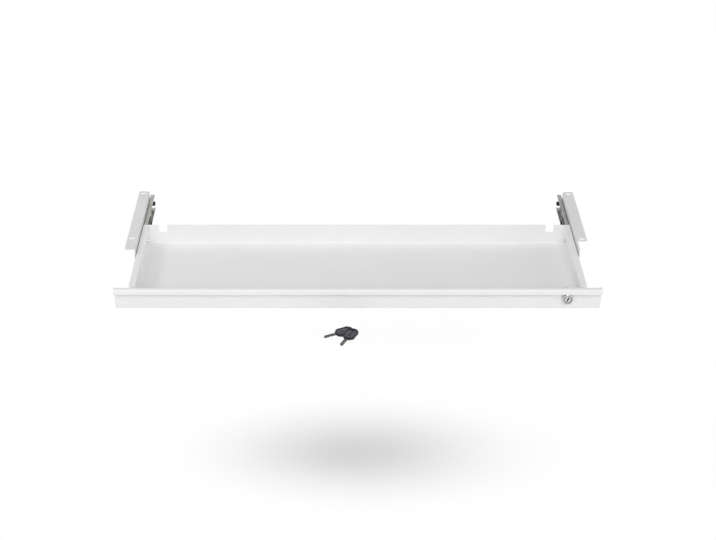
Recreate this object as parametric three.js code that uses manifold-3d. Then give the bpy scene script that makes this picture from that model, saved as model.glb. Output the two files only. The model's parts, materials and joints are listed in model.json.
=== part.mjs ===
// A shallow lockable steel drawer that hangs under a desk on two brackets and two ball slides.
// Millimetres, +Z up, drawer front towards -Y. The origin lies in the desk's underside,
// midway between the brackets and midway along the fixed slide members.
import * as THREE from "three";
import { mergeVertices } from "three/addons/utils/BufferGeometryUtils.js";
import Module from "manifold-3d";

const wasm = await Module();
wasm.setup();

// Front panel with its rolled finger lip
const panelWidth = 780;
const panelOverhang = 33.5;
const panelDrop = 2;
const panelSheet = 1.2;
const panelBend = 0.7;
const lipReach = 8.6;
const lipDrop = 9.2;
const lipBend = 2;
const panelReturn = 14;
const panelSideReturn = 6;

// Tray, which hangs behind the panel
const trayInnerWidth = panelWidth - 2 * panelOverhang;
const trayInnerLength = 208;
const trayInnerDepth = 35;
const traySheet = 1;
const trayBend = 1.2;
const frontWallDrop = 4;
const notchWidth = 14;
const notchDepth = 14;
const notchInset = 16.5;

// Brackets
const bracketSheet = 1.5;
const bracketBend = 1.5;
const bracketCorner = 2;
const flangeReach = 17.6;
const leftBracketLength = 211;
const rightFlangeLength = 180;
const rightBracketLength = 208;
const webMargin = 1;
const slotLength = 11;
const slotWidth = 5.5;
const slotSpacing = 165;
const slotEndInset = 8;

// Slide members
const slideLength = 220;
const slideHeight = 27;
const slideThickness = 10;
const slideSheet = 0.9;
const slideBend = 0.8;
const middleLength = 206;
const innerLength = 186;
const hookLength = 1.3;
const hookDip = 0.7;
const outerLipReach = 7.5;
const middleLipReach = 8.9;
const innerLipReach = 6.4;
const webSlotLength = 22;
const webSlotWidth = 4.6;
const crossSlotLength = 9;
const crossSlotWidth = 4.2;
const outerSlotShares = [-0.2, 0.2];
const middleSlotShares = [-0.25, 0.25];
const innerSlotShares = [-0.3, 0.3];

// Balls and their retainers
const ballRadius = 1.4;
const ballCount = 7;
const ballPitch = 13.3;
const cageSheet = 0.35;
const cageLegSheet = 0.5;
const cageEndMargin = 5;
const cageLegMargin = 1.7;

// Rubber stop and plastic end guide
const stopLength = 5.7;
const stopReach = 7.6;
const stopHeight = 6.5;
const stopDrop = 3;
const guideLength = 36;
const guideInset = 16.5;
const guideWall = 0.9;
const guideBridge = 2.2;
const guideLiner = 1.5;

// Travel: the drawer is drawn part of the way out
const restPull = 106;
const outerCageShift = -3;
const innerCageShift = 1;

// Cam lock
const lockInset = 20.5;
const lockDrop = 19.4;
const lockFaceRadius = 9;
const lockFaceProud = 6.5;
const lockFaceRound = 1.2;
const barrelRadius = 7.9;
const barrelLength = 20;
const plugRadius = 5.6;
const plugRecess = 0.8;
const keywayHeight = 7.4;
const keywayDepth = 14;
const keywayTiltDegrees = 25;
const nutAcrossFlats = 20;
const nutHeight = 4;
const camThickness = 2;
const camWidth = 13;
const camReach = 23.5;
const camTipWidth = 9;
const camSquare = 6.6;
const camScrewRadius = 1.7;
const camScrewHeadRadius = 3.6;
const camScrewHeadHeight = 2.2;
const camScrewDepth = 7;

// Screws
const screwRadius = 2;
const screwHeadRadius = 3.4;
const screwHeadHeight = 1.4;
const screwTail = 1.4;
const bracketScrewInset = 34;
const drawerScrewFrontInset = 16;
const drawerScrewRearInset = 29;

// Keys, which lie loose in front of the panel and below it
const bladeThickness = 1.9;
const bladeLength = 22;
const bladeHeight = 5.4;
const bladeTip = 3;
const bladeTail = 7;
const biteDepths = [1, 1.7, 0.7];
const bitePitch = 4.6;
const biteStart = 6.4;
const bladeGrooveWidth = 1.5;
const bladeGrooveDepth = 0.45;
const headLength = 29;
const headWidth = 19;
const headThickness = 4.2;
const headCorner = 5.3;
const headNeck = 8.6;
const headFlare = 5;
const headRound = 0.9;
const headBend = 2.2;
const headRim = 2.2;
const headPanelDepth = 0.7;
const headBossRadius = 3.2;
const ridgeWidth = 1.3;
const ridgePitch = 3.4;
const ridgeLength = 7.5;
const ridgeCount = 4;
const ridgePlaceShare = 0.45;
const headHoleRadius = 1.9;
const headHoleInset = 5;
const keyPocket = 0.15;
const keyDrop = 18.3;
const lowerKeyAcross = -34.7;
const lowerKeyAhead = 47.5;
const lowerKeyTurnDegrees = 207.5;
const upperKeyAcross = -17.9;
const upperKeyAhead = 68.7;
const upperKeyTurnDegrees = 244.4;

// Clearances
const seatGap = 0.3;
const runGap = 0.1;
const holeGap = 0.25;
const rimGap = 1.4;
const keyGap = 0.2;
const deskGap = 10;
const flangeToSlide = 0.5;
const panelToSlide = 0.8;
const overrun = 5;

const CURVE_STEPS = 4;
const ROUND_STEPS = 28;
const SMALL_ROUND_STEPS = 14;
const BLUNT_STEPS = 2;
const BALL_STEPS = [8, 4];
const NUT_SIDES = 6;
const RIGHT_ANGLE = Math.PI / 2;

// Places worked out from the sizes above
const wallInner = trayInnerWidth / 2;
const wallOuter = wallInner + traySheet;
const slideFace = wallOuter + seatGap;
const slideBack = slideFace + slideThickness;
const webInner = slideBack + seatGap;
const webOuter = webInner + bracketSheet;
const rimEdge = webInner - rimGap;
const rimTop = -deskGap;
const floorTop = rimTop - trayInnerDepth;
const floorBottom = floorTop - traySheet;
const slideTop = rimTop - traySheet - flangeToSlide;
const slideMid = slideTop - slideHeight / 2;
const slideEnd = slideLength / 2;
const closedFace = -slideEnd - panelToSlide - panelSheet;
const restFace = closedFace - restPull;
const panelBottom = floorBottom - panelDrop - panelSheet;
const trayFront = restFace + panelSheet + seatGap;
const trayBack = trayFront + traySheet + trayInnerLength + traySheet;
const middleBack = slideEnd - seatGap - stopLength - seatGap;
const middleRest = -restPull / 2;
const innerRest = -restPull;
const outerCageRest = -restPull / 4;
const innerCageRest = (-restPull * 3) / 4;

const X = new THREE.Vector3(1, 0, 0);
const Y = new THREE.Vector3(0, 1, 0);
const Z = new THREE.Vector3(0, 0, 1);

// Materials
const material = (color, roughness, metalness) =>
  new THREE.MeshStandardMaterial({ color, roughness, metalness });
const whitePaint = material(0xe9e9ea, 0.45, 0);
const zinc = material(0xa9aaa4, 0.35, 0.9);
const blackPlastic = material(0x1b1b1d, 0.5, 0);
const rubber = material(0x141414, 0.85, 0);
const nickel = material(0xb9bbbd, 0.25, 1);
const steel = material(0x9a9ca0, 0.3, 1);
const keyPlastic = material(0x55525a, 0.45, 0);

// A closed geometry as a solid that can be cut and joined.
function solid(geometry) {
  const bare = geometry.index ? geometry.toNonIndexed() : geometry.clone();
  bare.deleteAttribute("normal");
  bare.deleteAttribute("uv");
  const merged = mergeVertices(bare);
  return new wasm.Manifold(
    new wasm.Mesh({
      numProp: 3,
      vertProperties: merged.attributes.position.array,
      triVerts: new Uint32Array(merged.index.array),
    }),
  );
}

// A solid back as a geometry.
function geometryOf(body) {
  const { numProp, vertProperties, triVerts } = body.getMesh();
  const count = vertProperties.length / numProp;
  const places = new Float32Array(count * 3);
  for (let i = 0; i < count; i++)
    places.set(vertProperties.subarray(i * numProp, i * numProp + 3), i * 3);
  const geometry = new THREE.BufferGeometry();
  geometry.setAttribute("position", new THREE.BufferAttribute(places, 3));
  geometry.setIndex(new THREE.BufferAttribute(new Uint32Array(triVerts), 1));
  const flat = geometry.toNonIndexed();
  flat.computeVertexNormals();
  return flat;
}

const join = (...bodies) => bodies.reduce((sum, body) => sum.add(body));
const cut = (body, ...tools) => tools.reduce((left, tool) => left.subtract(tool), body);

// The centre line of a folded strip, with each bend as an arc, as places and their left normals.
function foldedLine(points, bends) {
  const line = [];
  const corners = points.map(([a, b]) => new THREE.Vector2(a, b));
  const along = corners.slice(1).map((p, i) => p.clone().sub(corners[i]).normalize());
  const leftOf = (d) => new THREE.Vector2(-d.y, d.x);
  line.push({ place: corners[0], normal: leftOf(along[0]) });
  for (let i = 1; i < corners.length - 1; i++) {
    const before = along[i - 1];
    const after = along[i];
    const turn = Math.atan2(before.cross(after), before.dot(after));
    const radius = Array.isArray(bends) ? bends[i - 1] : bends;
    const setback = radius * Math.tan(Math.abs(turn) / 2);
    const start = corners[i].clone().addScaledVector(before, -setback);
    const side = Math.sign(turn);
    const centre = start.clone().addScaledVector(leftOf(before), side * radius);
    for (let k = 0; k <= CURVE_STEPS; k++) {
      const normal = leftOf(before).rotateAround(new THREE.Vector2(), (turn * k) / CURVE_STEPS);
      line.push({ place: centre.clone().addScaledVector(normal, -side * radius), normal });
    }
  }
  line.push({ place: corners.at(-1), normal: leftOf(along.at(-1)) });
  return line;
}

// The outline of a sheet folded along a centre line; a bend is the radius of its inner face.
function foldedSheet(points, sheet, bends) {
  const middleBends = Array.isArray(bends) ? bends.map((r) => r + sheet / 2) : bends + sheet / 2;
  const line = foldedLine(points, middleBends);
  const left = line.map(({ place, normal }) => place.clone().addScaledVector(normal, sheet / 2));
  const right = line.map(({ place, normal }) => place.clone().addScaledVector(normal, -sheet / 2));
  return new THREE.Shape([...right, ...left.reverse()]);
}

// A closed outline with each of its corners rounded.
function roundedOutline(corners, radius, steps) {
  const points = [];
  for (const [i, corner] of corners.entries()) {
    const before = corner.clone().sub(corners.at(i - 1)).normalize();
    const after = corners[(i + 1) % corners.length].clone().sub(corner).normalize();
    const turn = Math.atan2(before.cross(after), before.dot(after));
    const side = Math.sign(turn);
    const inward = new THREE.Vector2(-before.y, before.x).multiplyScalar(side);
    const start = corner.clone().addScaledVector(before, -radius * Math.tan(Math.abs(turn) / 2));
    const centre = start.addScaledVector(inward, radius);
    for (let k = 0; k <= steps; k++) {
      const arm = inward.clone().multiplyScalar(-radius);
      points.push(arm.rotateAround(new THREE.Vector2(), (turn * k) / steps).add(centre));
    }
  }
  return points;
}

// An outline given a depth along Z. An arc has as many steps as curveSegments, a full turn twice that.
function extruded(shape, depth, curveSegments = SMALL_ROUND_STEPS / 2) {
  return new THREE.ExtrudeGeometry(shape, { depth, bevelEnabled: false, curveSegments });
}

// An outline in X and Z, run along Y.
function alongY(shape, from, to, curveSegments) {
  const geometry = extruded(shape, to - from, curveSegments);
  geometry.applyMatrix4(new THREE.Matrix4().makeBasis(X, Z, Y.clone().negate()));
  return geometry.translate(0, to, 0);
}

// An outline in Y and Z, run along X.
function alongX(shape, from, to) {
  const geometry = extruded(shape, to - from);
  geometry.applyMatrix4(new THREE.Matrix4().makeBasis(Y, Z, X));
  return geometry.translate(from, 0, 0);
}

// An outline in X and Y, run along Z.
function alongZ(shape, from, to) {
  return extruded(shape, to - from).translate(0, 0, from);
}

// A block between two corners.
function block([x0, y0, z0], [x1, y1, z1]) {
  const geometry = new THREE.BoxGeometry(x1 - x0, y1 - y0, z1 - z0);
  return geometry.translate((x0 + x1) / 2, (y0 + y1) / 2, (z0 + z1) / 2);
}

// A turned piece about the Y axis: each pair is a radius and a place along Y.
function turned(pairs, steps = ROUND_STEPS) {
  const points = pairs.map(([radius, y]) => new THREE.Vector2(radius, y));
  return new THREE.LatheGeometry(points, steps);
}

function rodAlongY(radius, from, to, steps = ROUND_STEPS) {
  const pairs = [
    [0, from],
    [radius, from],
    [radius, to],
    [0, to],
  ];
  return turned(pairs, steps);
}

// A thin rod lying along X, for the screws and their holes.
const rodAlongX = (radius, from, to) =>
  rodAlongY(radius, from, to, SMALL_ROUND_STEPS).rotateZ(-RIGHT_ANGLE);

// A slot with round ends, long in X, about the origin.
function slotShape(length, width) {
  const half = (length - width) / 2;
  const radius = width / 2;
  const shape = new THREE.Shape();
  shape.absarc(half, 0, radius, -RIGHT_ANGLE, RIGHT_ANGLE, false);
  shape.absarc(-half, 0, radius, RIGHT_ANGLE, 3 * RIGHT_ANGLE, false);
  return shape;
}

function named(name, geometry, finish) {
  const mesh = new THREE.Mesh(geometry, finish);
  mesh.name = name;
  return mesh;
}

// Where the lock sits, and where screws hold the slides
const lockX = wallInner - lockInset;
const lockZ = rimTop - lockDrop;
const keywayWidth = bladeThickness + 2 * keyGap;
const bladeGroovePlaces = [-bladeHeight / 6, -bladeHeight / 4];
const bracketScrewPlaces = {
  front: -slideEnd + bracketScrewInset,
  rear: slideEnd - bracketScrewInset,
};
const drawerScrewPlaces = {
  front: trayFront + drawerScrewFrontInset,
  rear: trayBack - drawerScrewRearInset,
};

// What a square corner of the flange loses when it is rounded: inward is +1 at the front, -1 at the back.
function flangeCorner(edgeX, edgeY, inward) {
  const centreX = edgeX - bracketCorner;
  const centreY = edgeY + inward * bracketCorner;
  const [low, high] = [centreY, edgeY - inward * overrun].sort((a, b) => a - b);
  const square = block([centreX, low, -bracketSheet - overrun], [edgeX + overrun, high, overrun]);
  const round = rodAlongY(bracketCorner, -bracketSheet - 2 * overrun, 2 * overrun);
  return cut(solid(square), solid(round.rotateX(RIGHT_ANGLE).translate(centreX, centreY, 0)));
}

// An L bracket on the right-hand side: the web carries the slide, the flange lies under the desk.
function bracket(webLength, flangeLength) {
  const webFront = -slideEnd;
  const back = webFront + webLength;
  const flangeFront = back - flangeLength;
  const webMiddle = webInner + bracketSheet / 2;
  const webBottom = slideMid - slideHeight / 2 - webMargin;
  const outline = foldedSheet(
    [
      [webMiddle, webBottom],
      [webMiddle, -bracketSheet / 2],
      [webInner + flangeReach, -bracketSheet / 2],
    ],
    bracketSheet,
    bracketBend,
  );
  let body = solid(alongY(outline, webFront, back));
  if (flangeFront > webFront) {
    const relief = block(
      [webOuter, webFront - overrun, -bracketSheet - bracketBend],
      [webInner + flangeReach + overrun, flangeFront, overrun],
    );
    body = cut(body, solid(relief));
  }
  for (const [edgeY, inward] of [
    [flangeFront, 1],
    [back, -1],
  ])
    body = cut(body, flangeCorner(webInner + flangeReach, edgeY, inward));
  const slotX = webInner + flangeReach / 2 + bracketSheet / 2;
  for (const slotY of [back - slotEndInset, back - slotEndInset - slotSpacing]) {
    const slot = alongZ(slotShape(slotLength, slotWidth), -bracketSheet - overrun, overrun);
    body = cut(body, solid(slot.translate(slotX, slotY, 0)));
  }
  for (const screwY of Object.values(bracketScrewPlaces)) {
    const hole = rodAlongX(screwRadius + holeGap, webInner - overrun, webOuter + overrun);
    body = cut(body, solid(hole.translate(0, screwY, slideMid)));
  }
  return geometryOf(body);
}

// A slide section is drawn in u, the distance from the fixed face towards the tray, and v,
// the height over the slide's middle. Here u runs towards -X on the right-hand side.
const fromSection = (points) => points.map(([u, v]) => [slideBack - u, slideMid + v]);
const mirrored = (half) => [...half, ...half.map(([u, v]) => [u, -v]).reverse()];

const outerLine = slideHeight / 2 - slideSheet / 2;
const ballLane = 2 * ballRadius + 2 * runGap;
const middleLine = outerLine - slideSheet - ballLane;
const innerLine = middleLine - slideSheet - ballLane;
const outerBallRow = (outerLine + middleLine) / 2;
const innerBallRow = (middleLine + innerLine) / 2;
const middleWeb = slideSheet + runGap + cageSheet + runGap + runGap + slideSheet / 2;
const innerWeb = slideThickness - slideSheet / 2;
const ballLine = slideThickness / 2 + runGap;

// A slot through a member's web, long in Y, or long in Z where it lies across.
function webSlot(length, width, web, y, across) {
  const slot = alongZ(slotShape(length, width), -slideSheet, slideSheet);
  if (!across) slot.rotateZ(RIGHT_ANGLE);
  slot.rotateY(RIGHT_ANGLE);
  return solid(slot.translate(slideBack - web, y, slideMid));
}

function outerMember() {
  const outline = foldedSheet(
    fromSection(
      mirrored([
        [outerLipReach, outerLine - hookDip],
        [outerLipReach - hookLength, outerLine],
        [slideSheet / 2, outerLine],
      ]),
    ),
    slideSheet,
    slideBend,
  );
  let body = solid(alongY(outline, -slideEnd, slideEnd));
  for (const screwY of Object.values(bracketScrewPlaces)) {
    const hole = rodAlongX(screwRadius + holeGap, slideBack - slideSheet - runGap, slideBack + overrun);
    body = cut(body, solid(hole.translate(0, screwY, slideMid)));
  }
  for (const share of outerSlotShares) {
    const slotY = share * slideLength;
    body = cut(body, webSlot(webSlotLength, webSlotWidth, slideSheet / 2, slotY, false));
  }
  return geometryOf(body);
}

function middleMember() {
  const outline = foldedSheet(
    fromSection(
      mirrored([
        [middleLipReach, middleLine - hookDip],
        [middleLipReach - hookLength, middleLine - hookDip],
        [middleLipReach - 2 * hookLength, middleLine],
        [middleWeb, middleLine],
      ]),
    ),
    slideSheet,
    slideBend,
  );
  const back = middleBack + middleRest;
  let body = solid(alongY(outline, back - middleLength, back));
  for (const share of middleSlotShares) {
    const slotY = back - middleLength / 2 + share * middleLength;
    body = cut(body, webSlot(webSlotLength, webSlotWidth, middleWeb, slotY, false));
  }
  return geometryOf(body);
}

function innerMember() {
  const lipEnd = slideThickness - innerLipReach;
  const outline = foldedSheet(
    fromSection(
      mirrored([
        [lipEnd, innerLine],
        [innerWeb, innerLine],
      ]),
    ),
    slideSheet,
    slideBend,
  );
  const back = middleBack - guideInset - guideBridge - seatGap + innerRest;
  let body = solid(alongY(outline, back - innerLength, back));
  for (const screwY of Object.values(drawerScrewPlaces)) {
    const hole = rodAlongX(screwRadius + holeGap, slideFace - overrun, slideFace + slideSheet + runGap);
    body = cut(body, solid(hole.translate(0, screwY, slideMid)));
  }
  for (const share of innerSlotShares) {
    const slotY = back - innerLength / 2 + share * innerLength;
    body = cut(body, webSlot(crossSlotLength, crossSlotWidth, innerWeb, slotY, true));
  }
  return geometryOf(body);
}

// A ball retainer: a thin web with two legs, and the two rows of balls that it holds.
function ballCage(web, ballRow, middleY) {
  const length = (ballCount - 1) * ballPitch + 2 * cageEndMargin;
  const legEnd = ballLine + cageLegMargin;
  const from = middleY - length / 2;
  const to = middleY + length / 2;
  const top = ballRow + cageLegSheet / 2;
  const section = ([u0, v0], [u1, v1]) =>
    solid(block([slideBack - u1, from, slideMid + v0], [slideBack - u0, to, slideMid + v1]));
  const pieces = [
    section([web, -top], [web + cageSheet, top]),
    section([web, top - cageLegSheet], [legEnd, top]),
    section([web, -top], [legEnd, -top + cageLegSheet]),
  ];
  for (const row of [-ballRow, ballRow])
    for (let i = 0; i < ballCount; i++) {
      const ball = new THREE.SphereGeometry(ballRadius, ...BALL_STEPS);
      const ballY = middleY + (i - (ballCount - 1) / 2) * ballPitch;
      pieces.push(solid(ball.translate(slideBack - ballLine, ballY, slideMid + row)));
    }
  return geometryOf(join(...pieces));
}

// The black plastic guide inside the middle member's rear end: it clips on the open edges, and its
// bridge stops the inner member.
function endGuide() {
  const back = middleBack - guideInset + middleRest;
  const bridgeFront = back - guideBridge;
  const front = back - guideLength;
  const faceInner = middleLipReach + seatGap;
  const faceOuter = faceInner + guideWall - seatGap;
  const coverBottom = middleLine + slideSheet / 2 + seatGap;
  const coverTop = coverBottom + guideWall;
  const coverStart = outerLipReach + seatGap;
  const linerBottom = innerLine + slideSheet / 2 + seatGap;
  const linerTop = linerBottom + guideLiner;
  const linerStart = middleWeb + slideSheet / 2 + seatGap;
  const section = ([u0, v0], [u1, v1], y0, y1) =>
    solid(block([slideBack - u1, y0, slideMid + v0], [slideBack - u0, y1, slideMid + v1]));
  const pieces = [section([linerStart, -linerTop], [faceOuter, linerTop], bridgeFront, back)];
  for (const side of [-1, 1]) {
    const span = (low, high) => (side > 0 ? [low, high] : [-high, -low]);
    const [linerLow, linerHigh] = span(linerBottom, linerTop);
    const [faceLow, faceHigh] = span(linerBottom, coverTop);
    const [coverLow, coverHigh] = span(coverBottom, coverTop);
    pieces.push(section([linerStart, linerLow], [faceOuter, linerHigh], front, back));
    pieces.push(section([faceInner, faceLow], [faceOuter, faceHigh], front, back));
    pieces.push(section([coverStart, coverLow], [faceOuter, coverHigh], front, back));
  }
  return geometryOf(join(...pieces));
}

function rearStop() {
  const middle = slideMid - stopDrop;
  return block(
    [slideBack - stopReach, slideEnd - stopLength, middle - stopHeight / 2],
    [slideBack - slideSheet - seatGap, slideEnd, middle + stopHeight / 2],
  );
}

// A pan-head screw along X: the head lies on the high side, its seat at the origin.
function panHeadScrew(shankLength) {
  const round = screwHeadHeight / 2;
  const points = [[0, -shankLength]];
  points.push([screwRadius, -shankLength]);
  points.push([screwRadius, 0]);
  points.push([screwHeadRadius, 0]);
  for (let k = 0; k <= BLUNT_STEPS; k++) {
    const angle = (RIGHT_ANGLE * k) / BLUNT_STEPS;
    const radius = screwHeadRadius - round + round * Math.cos(angle);
    points.push([radius, screwHeadHeight - round + round * Math.sin(angle)]);
  }
  points.push([0, screwHeadHeight]);
  return turned(points, SMALL_ROUND_STEPS).rotateZ(-RIGHT_ANGLE);
}

// The tray is welded from five sheets: the floor lies between the side walls, and the front and
// back walls stand on it.
const wallSeat = wallInner - seatGap;
const wallFoot = floorTop + seatGap;

function trayFloor() {
  return block([-wallSeat, trayFront, floorBottom], [wallSeat, trayBack, floorTop]);
}

// A side wall on the right-hand side, with its flange folded outwards over the slide.
function traySideWall() {
  const wallMiddle = wallInner + traySheet / 2;
  const rimMiddle = rimTop - traySheet / 2;
  const outline = foldedSheet(
    [
      [wallMiddle, floorBottom],
      [wallMiddle, rimMiddle],
      [rimEdge, rimMiddle],
    ],
    traySheet,
    trayBend,
  );
  let body = solid(alongY(outline, trayFront, trayBack));
  for (const screwY of Object.values(drawerScrewPlaces)) {
    const hole = rodAlongX(screwRadius + holeGap, wallInner - overrun, wallOuter + overrun);
    body = cut(body, solid(hole.translate(0, screwY, slideMid)));
  }
  return geometryOf(body);
}

function trayFrontWall() {
  const wallBack = trayFront + traySheet;
  const wall = block([-wallSeat, trayFront, wallFoot], [wallSeat, wallBack, rimTop - frontWallDrop]);
  const hole = rodAlongY(barrelRadius + holeGap, trayFront - overrun, wallBack + overrun);
  return geometryOf(cut(solid(wall), solid(hole.translate(lockX, 0, lockZ))));
}

// The back wall, with a cable notch near each end.
function trayBackWall() {
  const wallFront = trayBack - traySheet;
  const wall = block([-wallSeat, wallFront, wallFoot], [wallSeat, trayBack, rimTop]);
  const notchOuter = wallInner - notchInset;
  const notchInner = notchOuter - notchWidth;
  const notchFloor = rimTop - notchDepth;
  const notch = ([from, to]) =>
    solid(block([from, wallFront - overrun, notchFloor], [to, trayBack + overrun, rimTop + overrun]));
  const notches = [
    [-notchOuter, -notchInner],
    [notchInner, notchOuter],
  ].map(notch);
  return geometryOf(cut(solid(wall), ...notches));
}

// The front panel: a face plate with a rolled lip along its top and returns on its other edges.
function frontPanel() {
  const faceMiddle = restFace + panelSheet / 2;
  const topMiddle = rimTop - panelSheet / 2;
  const lipMiddle = restFace - lipReach + panelSheet / 2;
  const bottomMiddle = panelBottom + panelSheet / 2;
  const outline = foldedSheet(
    [
      [restFace + panelReturn, bottomMiddle],
      [faceMiddle, bottomMiddle],
      [faceMiddle, topMiddle],
      [lipMiddle, topMiddle],
      [lipMiddle, rimTop - lipDrop],
    ],
    panelSheet,
    [panelBend, lipBend, lipBend],
  );
  const half = panelWidth / 2;
  let body = solid(alongX(outline, -half, half));
  for (const side of [-1, 1]) {
    const edges = [side * half, side * (half - panelSheet)].sort((a, b) => a - b);
    const sideReturn = block(
      [edges[0], restFace + panelSheet / 2, panelBottom + panelSheet / 2],
      [edges[1], restFace + panelSideReturn, rimTop - lipBend - panelSheet],
    );
    body = join(body, solid(sideReturn));
  }
  const lockHole = rodAlongY(barrelRadius + holeGap, restFace - overrun, restFace + panelSheet + overrun);
  return geometryOf(cut(body, solid(lockHole.translate(lockX, 0, lockZ))));
}

// The lock's pieces are drawn about the lock's axis, with the panel's face at Y zero.
const plugHole = plugRadius + runGap;
const bezelFront = -seatGap - lockFaceProud;
const barrelBack = barrelLength;
const camFront = barrelBack + seatGap;
const camBack = camFront + camThickness;

function lockBarrel() {
  const points = [[plugHole, bezelFront + lockFaceRound / 2]];
  points.push([plugHole + lockFaceRound / 2, bezelFront]);
  for (let k = 0; k <= CURVE_STEPS; k++) {
    const angle = (RIGHT_ANGLE * k) / CURVE_STEPS;
    const radius = lockFaceRadius - lockFaceRound + lockFaceRound * Math.sin(angle);
    points.push([radius, bezelFront + lockFaceRound - lockFaceRound * Math.cos(angle)]);
  }
  points.push([lockFaceRadius, -seatGap]);
  points.push([barrelRadius, -seatGap]);
  points.push([barrelRadius, barrelBack]);
  points.push([plugHole, barrelBack]);
  points.push([plugHole, bezelFront + lockFaceRound / 2]);
  return turned(points);
}

// The keyway's outline, upright, in X and Z: a ward on each side runs in the blade's groove.
function keywayShape() {
  const half = keywayWidth / 2;
  const rise = keywayHeight / 2;
  const narrow = half - bladeGrooveDepth;
  const foot = bladeGrooveWidth / 2;
  const tip = foot - keyGap;
  const ward = (side, middle) => [
    [side * half, middle - foot],
    [side * narrow, middle - tip],
    [side * narrow, middle + tip],
    [side * half, middle + foot],
  ];
  const rightSide = [[half, -rise], ...ward(1, bladeGroovePlaces[0]), [half, rise]];
  const leftSide = [[-half, -rise], ...ward(-1, bladeGroovePlaces[1]), [-half, rise]];
  const outline = [...rightSide, ...leftSide.reverse()];
  return new THREE.Shape(outline.map(([a, b]) => new THREE.Vector2(a, b)));
}

function lockPlug() {
  const body = solid(rodAlongY(plugRadius, bezelFront + plugRecess, barrelBack));
  const half = camSquare / 2;
  const square = solid(block([-half, barrelBack - overrun, -half], [half, camBack - runGap, half]));
  const keyway = alongY(keywayShape(), bezelFront - overrun, bezelFront + keywayDepth);
  keyway.rotateY((keywayTiltDegrees * Math.PI) / 180);
  const bore = rodAlongY(camScrewRadius + runGap, camBack - camScrewDepth - seatGap, camBack + overrun);
  return geometryOf(cut(join(body, square), solid(keyway), solid(bore)));
}

// The cam points away from the slide at rest and turns up over the tray's rim to lock.
function lockCam() {
  const hub = camWidth / 2;
  const tip = camTipWidth / 2;
  const corner = camThickness / 2;
  const shape = new THREE.Shape();
  shape.moveTo(0, hub);
  shape.absarc(0, 0, hub, RIGHT_ANGLE, -RIGHT_ANGLE, true);
  shape.lineTo(-camReach + corner, -tip);
  shape.lineTo(-camReach, -tip + corner);
  shape.lineTo(-camReach, tip - corner);
  shape.lineTo(-camReach + corner, tip);
  const half = camSquare / 2 + runGap;
  const square = block([-half, camFront - overrun, -half], [half, camBack + overrun, half]);
  return geometryOf(cut(solid(alongY(shape, camFront, camBack)), solid(square)));
}

function camScrew() {
  const seat = camBack + runGap;
  const pairs = [
    [0, seat - camScrewDepth],
    [camScrewRadius, seat - camScrewDepth],
    [camScrewRadius, seat],
    [camScrewHeadRadius, seat],
    [camScrewHeadRadius, seat + camScrewHeadHeight / 2],
    [camScrewHeadRadius - camScrewHeadHeight / 2, seat + camScrewHeadHeight],
    [0, seat + camScrewHeadHeight],
  ];
  return turned(pairs, SMALL_ROUND_STEPS);
}

function lockNut() {
  const seat = panelSheet + seatGap + traySheet + seatGap;
  const shape = new THREE.Shape();
  const corner = nutAcrossFlats / Math.sqrt(3);
  for (let i = 0; i < NUT_SIDES; i++) {
    const angle = (2 * Math.PI * i) / NUT_SIDES;
    const [a, b] = [corner * Math.cos(angle), corner * Math.sin(angle)];
    if (i) shape.lineTo(a, b);
    else shape.moveTo(a, b);
  }
  const bore = new THREE.Path();
  bore.absarc(0, 0, barrelRadius + runGap, 0, 2 * Math.PI, true);
  shape.holes.push(bore);
  return alongY(shape, seat, seat + nutHeight, ROUND_STEPS / 2);
}

// A key lies flat: its blade runs along X from the head, and its cuts face +Y.
function keyBlade() {
  const shape = new THREE.Shape();
  const top = bladeHeight / 2;
  shape.moveTo(-bladeTail, -top);
  shape.lineTo(bladeLength - bladeTip, -top);
  shape.lineTo(bladeLength, 0);
  shape.lineTo(bladeLength - bladeTip, top);
  for (const [i, depth] of biteDepths.entries()) {
    const middle = bladeLength - biteStart - i * bitePitch;
    const flat = bitePitch / 8;
    shape.lineTo(middle + flat + depth / 2, top);
    shape.lineTo(middle + flat, top - depth);
    shape.lineTo(middle - flat, top - depth);
    shape.lineTo(middle - flat - depth / 2, top);
  }
  shape.lineTo(-bladeTail, top);
  const half = bladeThickness / 2;
  const groove = (middle, low, high) => {
    const edge = bladeGrooveWidth / 2;
    return solid(block([-keyPocket, middle - edge, low], [bladeLength + overrun, middle + edge, high]));
  };
  const above = groove(bladeGroovePlaces[0], half - bladeGrooveDepth, half + overrun);
  const below = groove(bladeGroovePlaces[1], -half - overrun, bladeGrooveDepth - half);
  return geometryOf(cut(solid(alongZ(shape, -half, half)), above, below));
}

// The moulded head's outline, drawn in by the inset.
function headOutline(inset, steps = BLUNT_STEPS) {
  const half = headWidth / 2 - inset;
  const neck = headNeck / 2 - inset;
  const near = -inset;
  const far = inset - headLength;
  const corners = [
    [near, neck],
    [-headFlare, half],
    [far + headCorner, half],
    [far, half - headCorner],
    [far, -half + headCorner],
    [far + headCorner, -half],
    [-headFlare, -half],
    [near, -neck],
  ];
  const places = corners.map(([a, b]) => new THREE.Vector2(a, b));
  return new THREE.Shape(roundedOutline(places, headBend - inset / 2, steps));
}

// What a head loses on one face: a sunk panel, less the grip ridges and the boss round the hole.
function headPanel(side, rise) {
  const [low, high] = [side * (rise - headPanelDepth), side * (rise + overrun)].sort((a, b) => a - b);
  const sunk = solid(alongZ(headOutline(headRim, 1), low, high));
  const boss = rodAlongY(headBossRadius, low - overrun, high + overrun, SMALL_ROUND_STEPS);
  boss.rotateX(RIGHT_ANGLE).translate(headHoleInset - headLength, 0, 0);
  const ridges = [];
  for (let i = 0; i < ridgeCount; i++) {
    const middle = (i - (ridgeCount - 1) / 2) * ridgePitch - headLength * ridgePlaceShare;
    const ridge = block(
      [middle - ridgeWidth / 2, -ridgeLength / 2, low - overrun],
      [middle + ridgeWidth / 2, ridgeLength / 2, high + overrun],
    );
    ridges.push(solid(ridge));
  }
  return cut(sunk, solid(boss), ...ridges);
}

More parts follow.
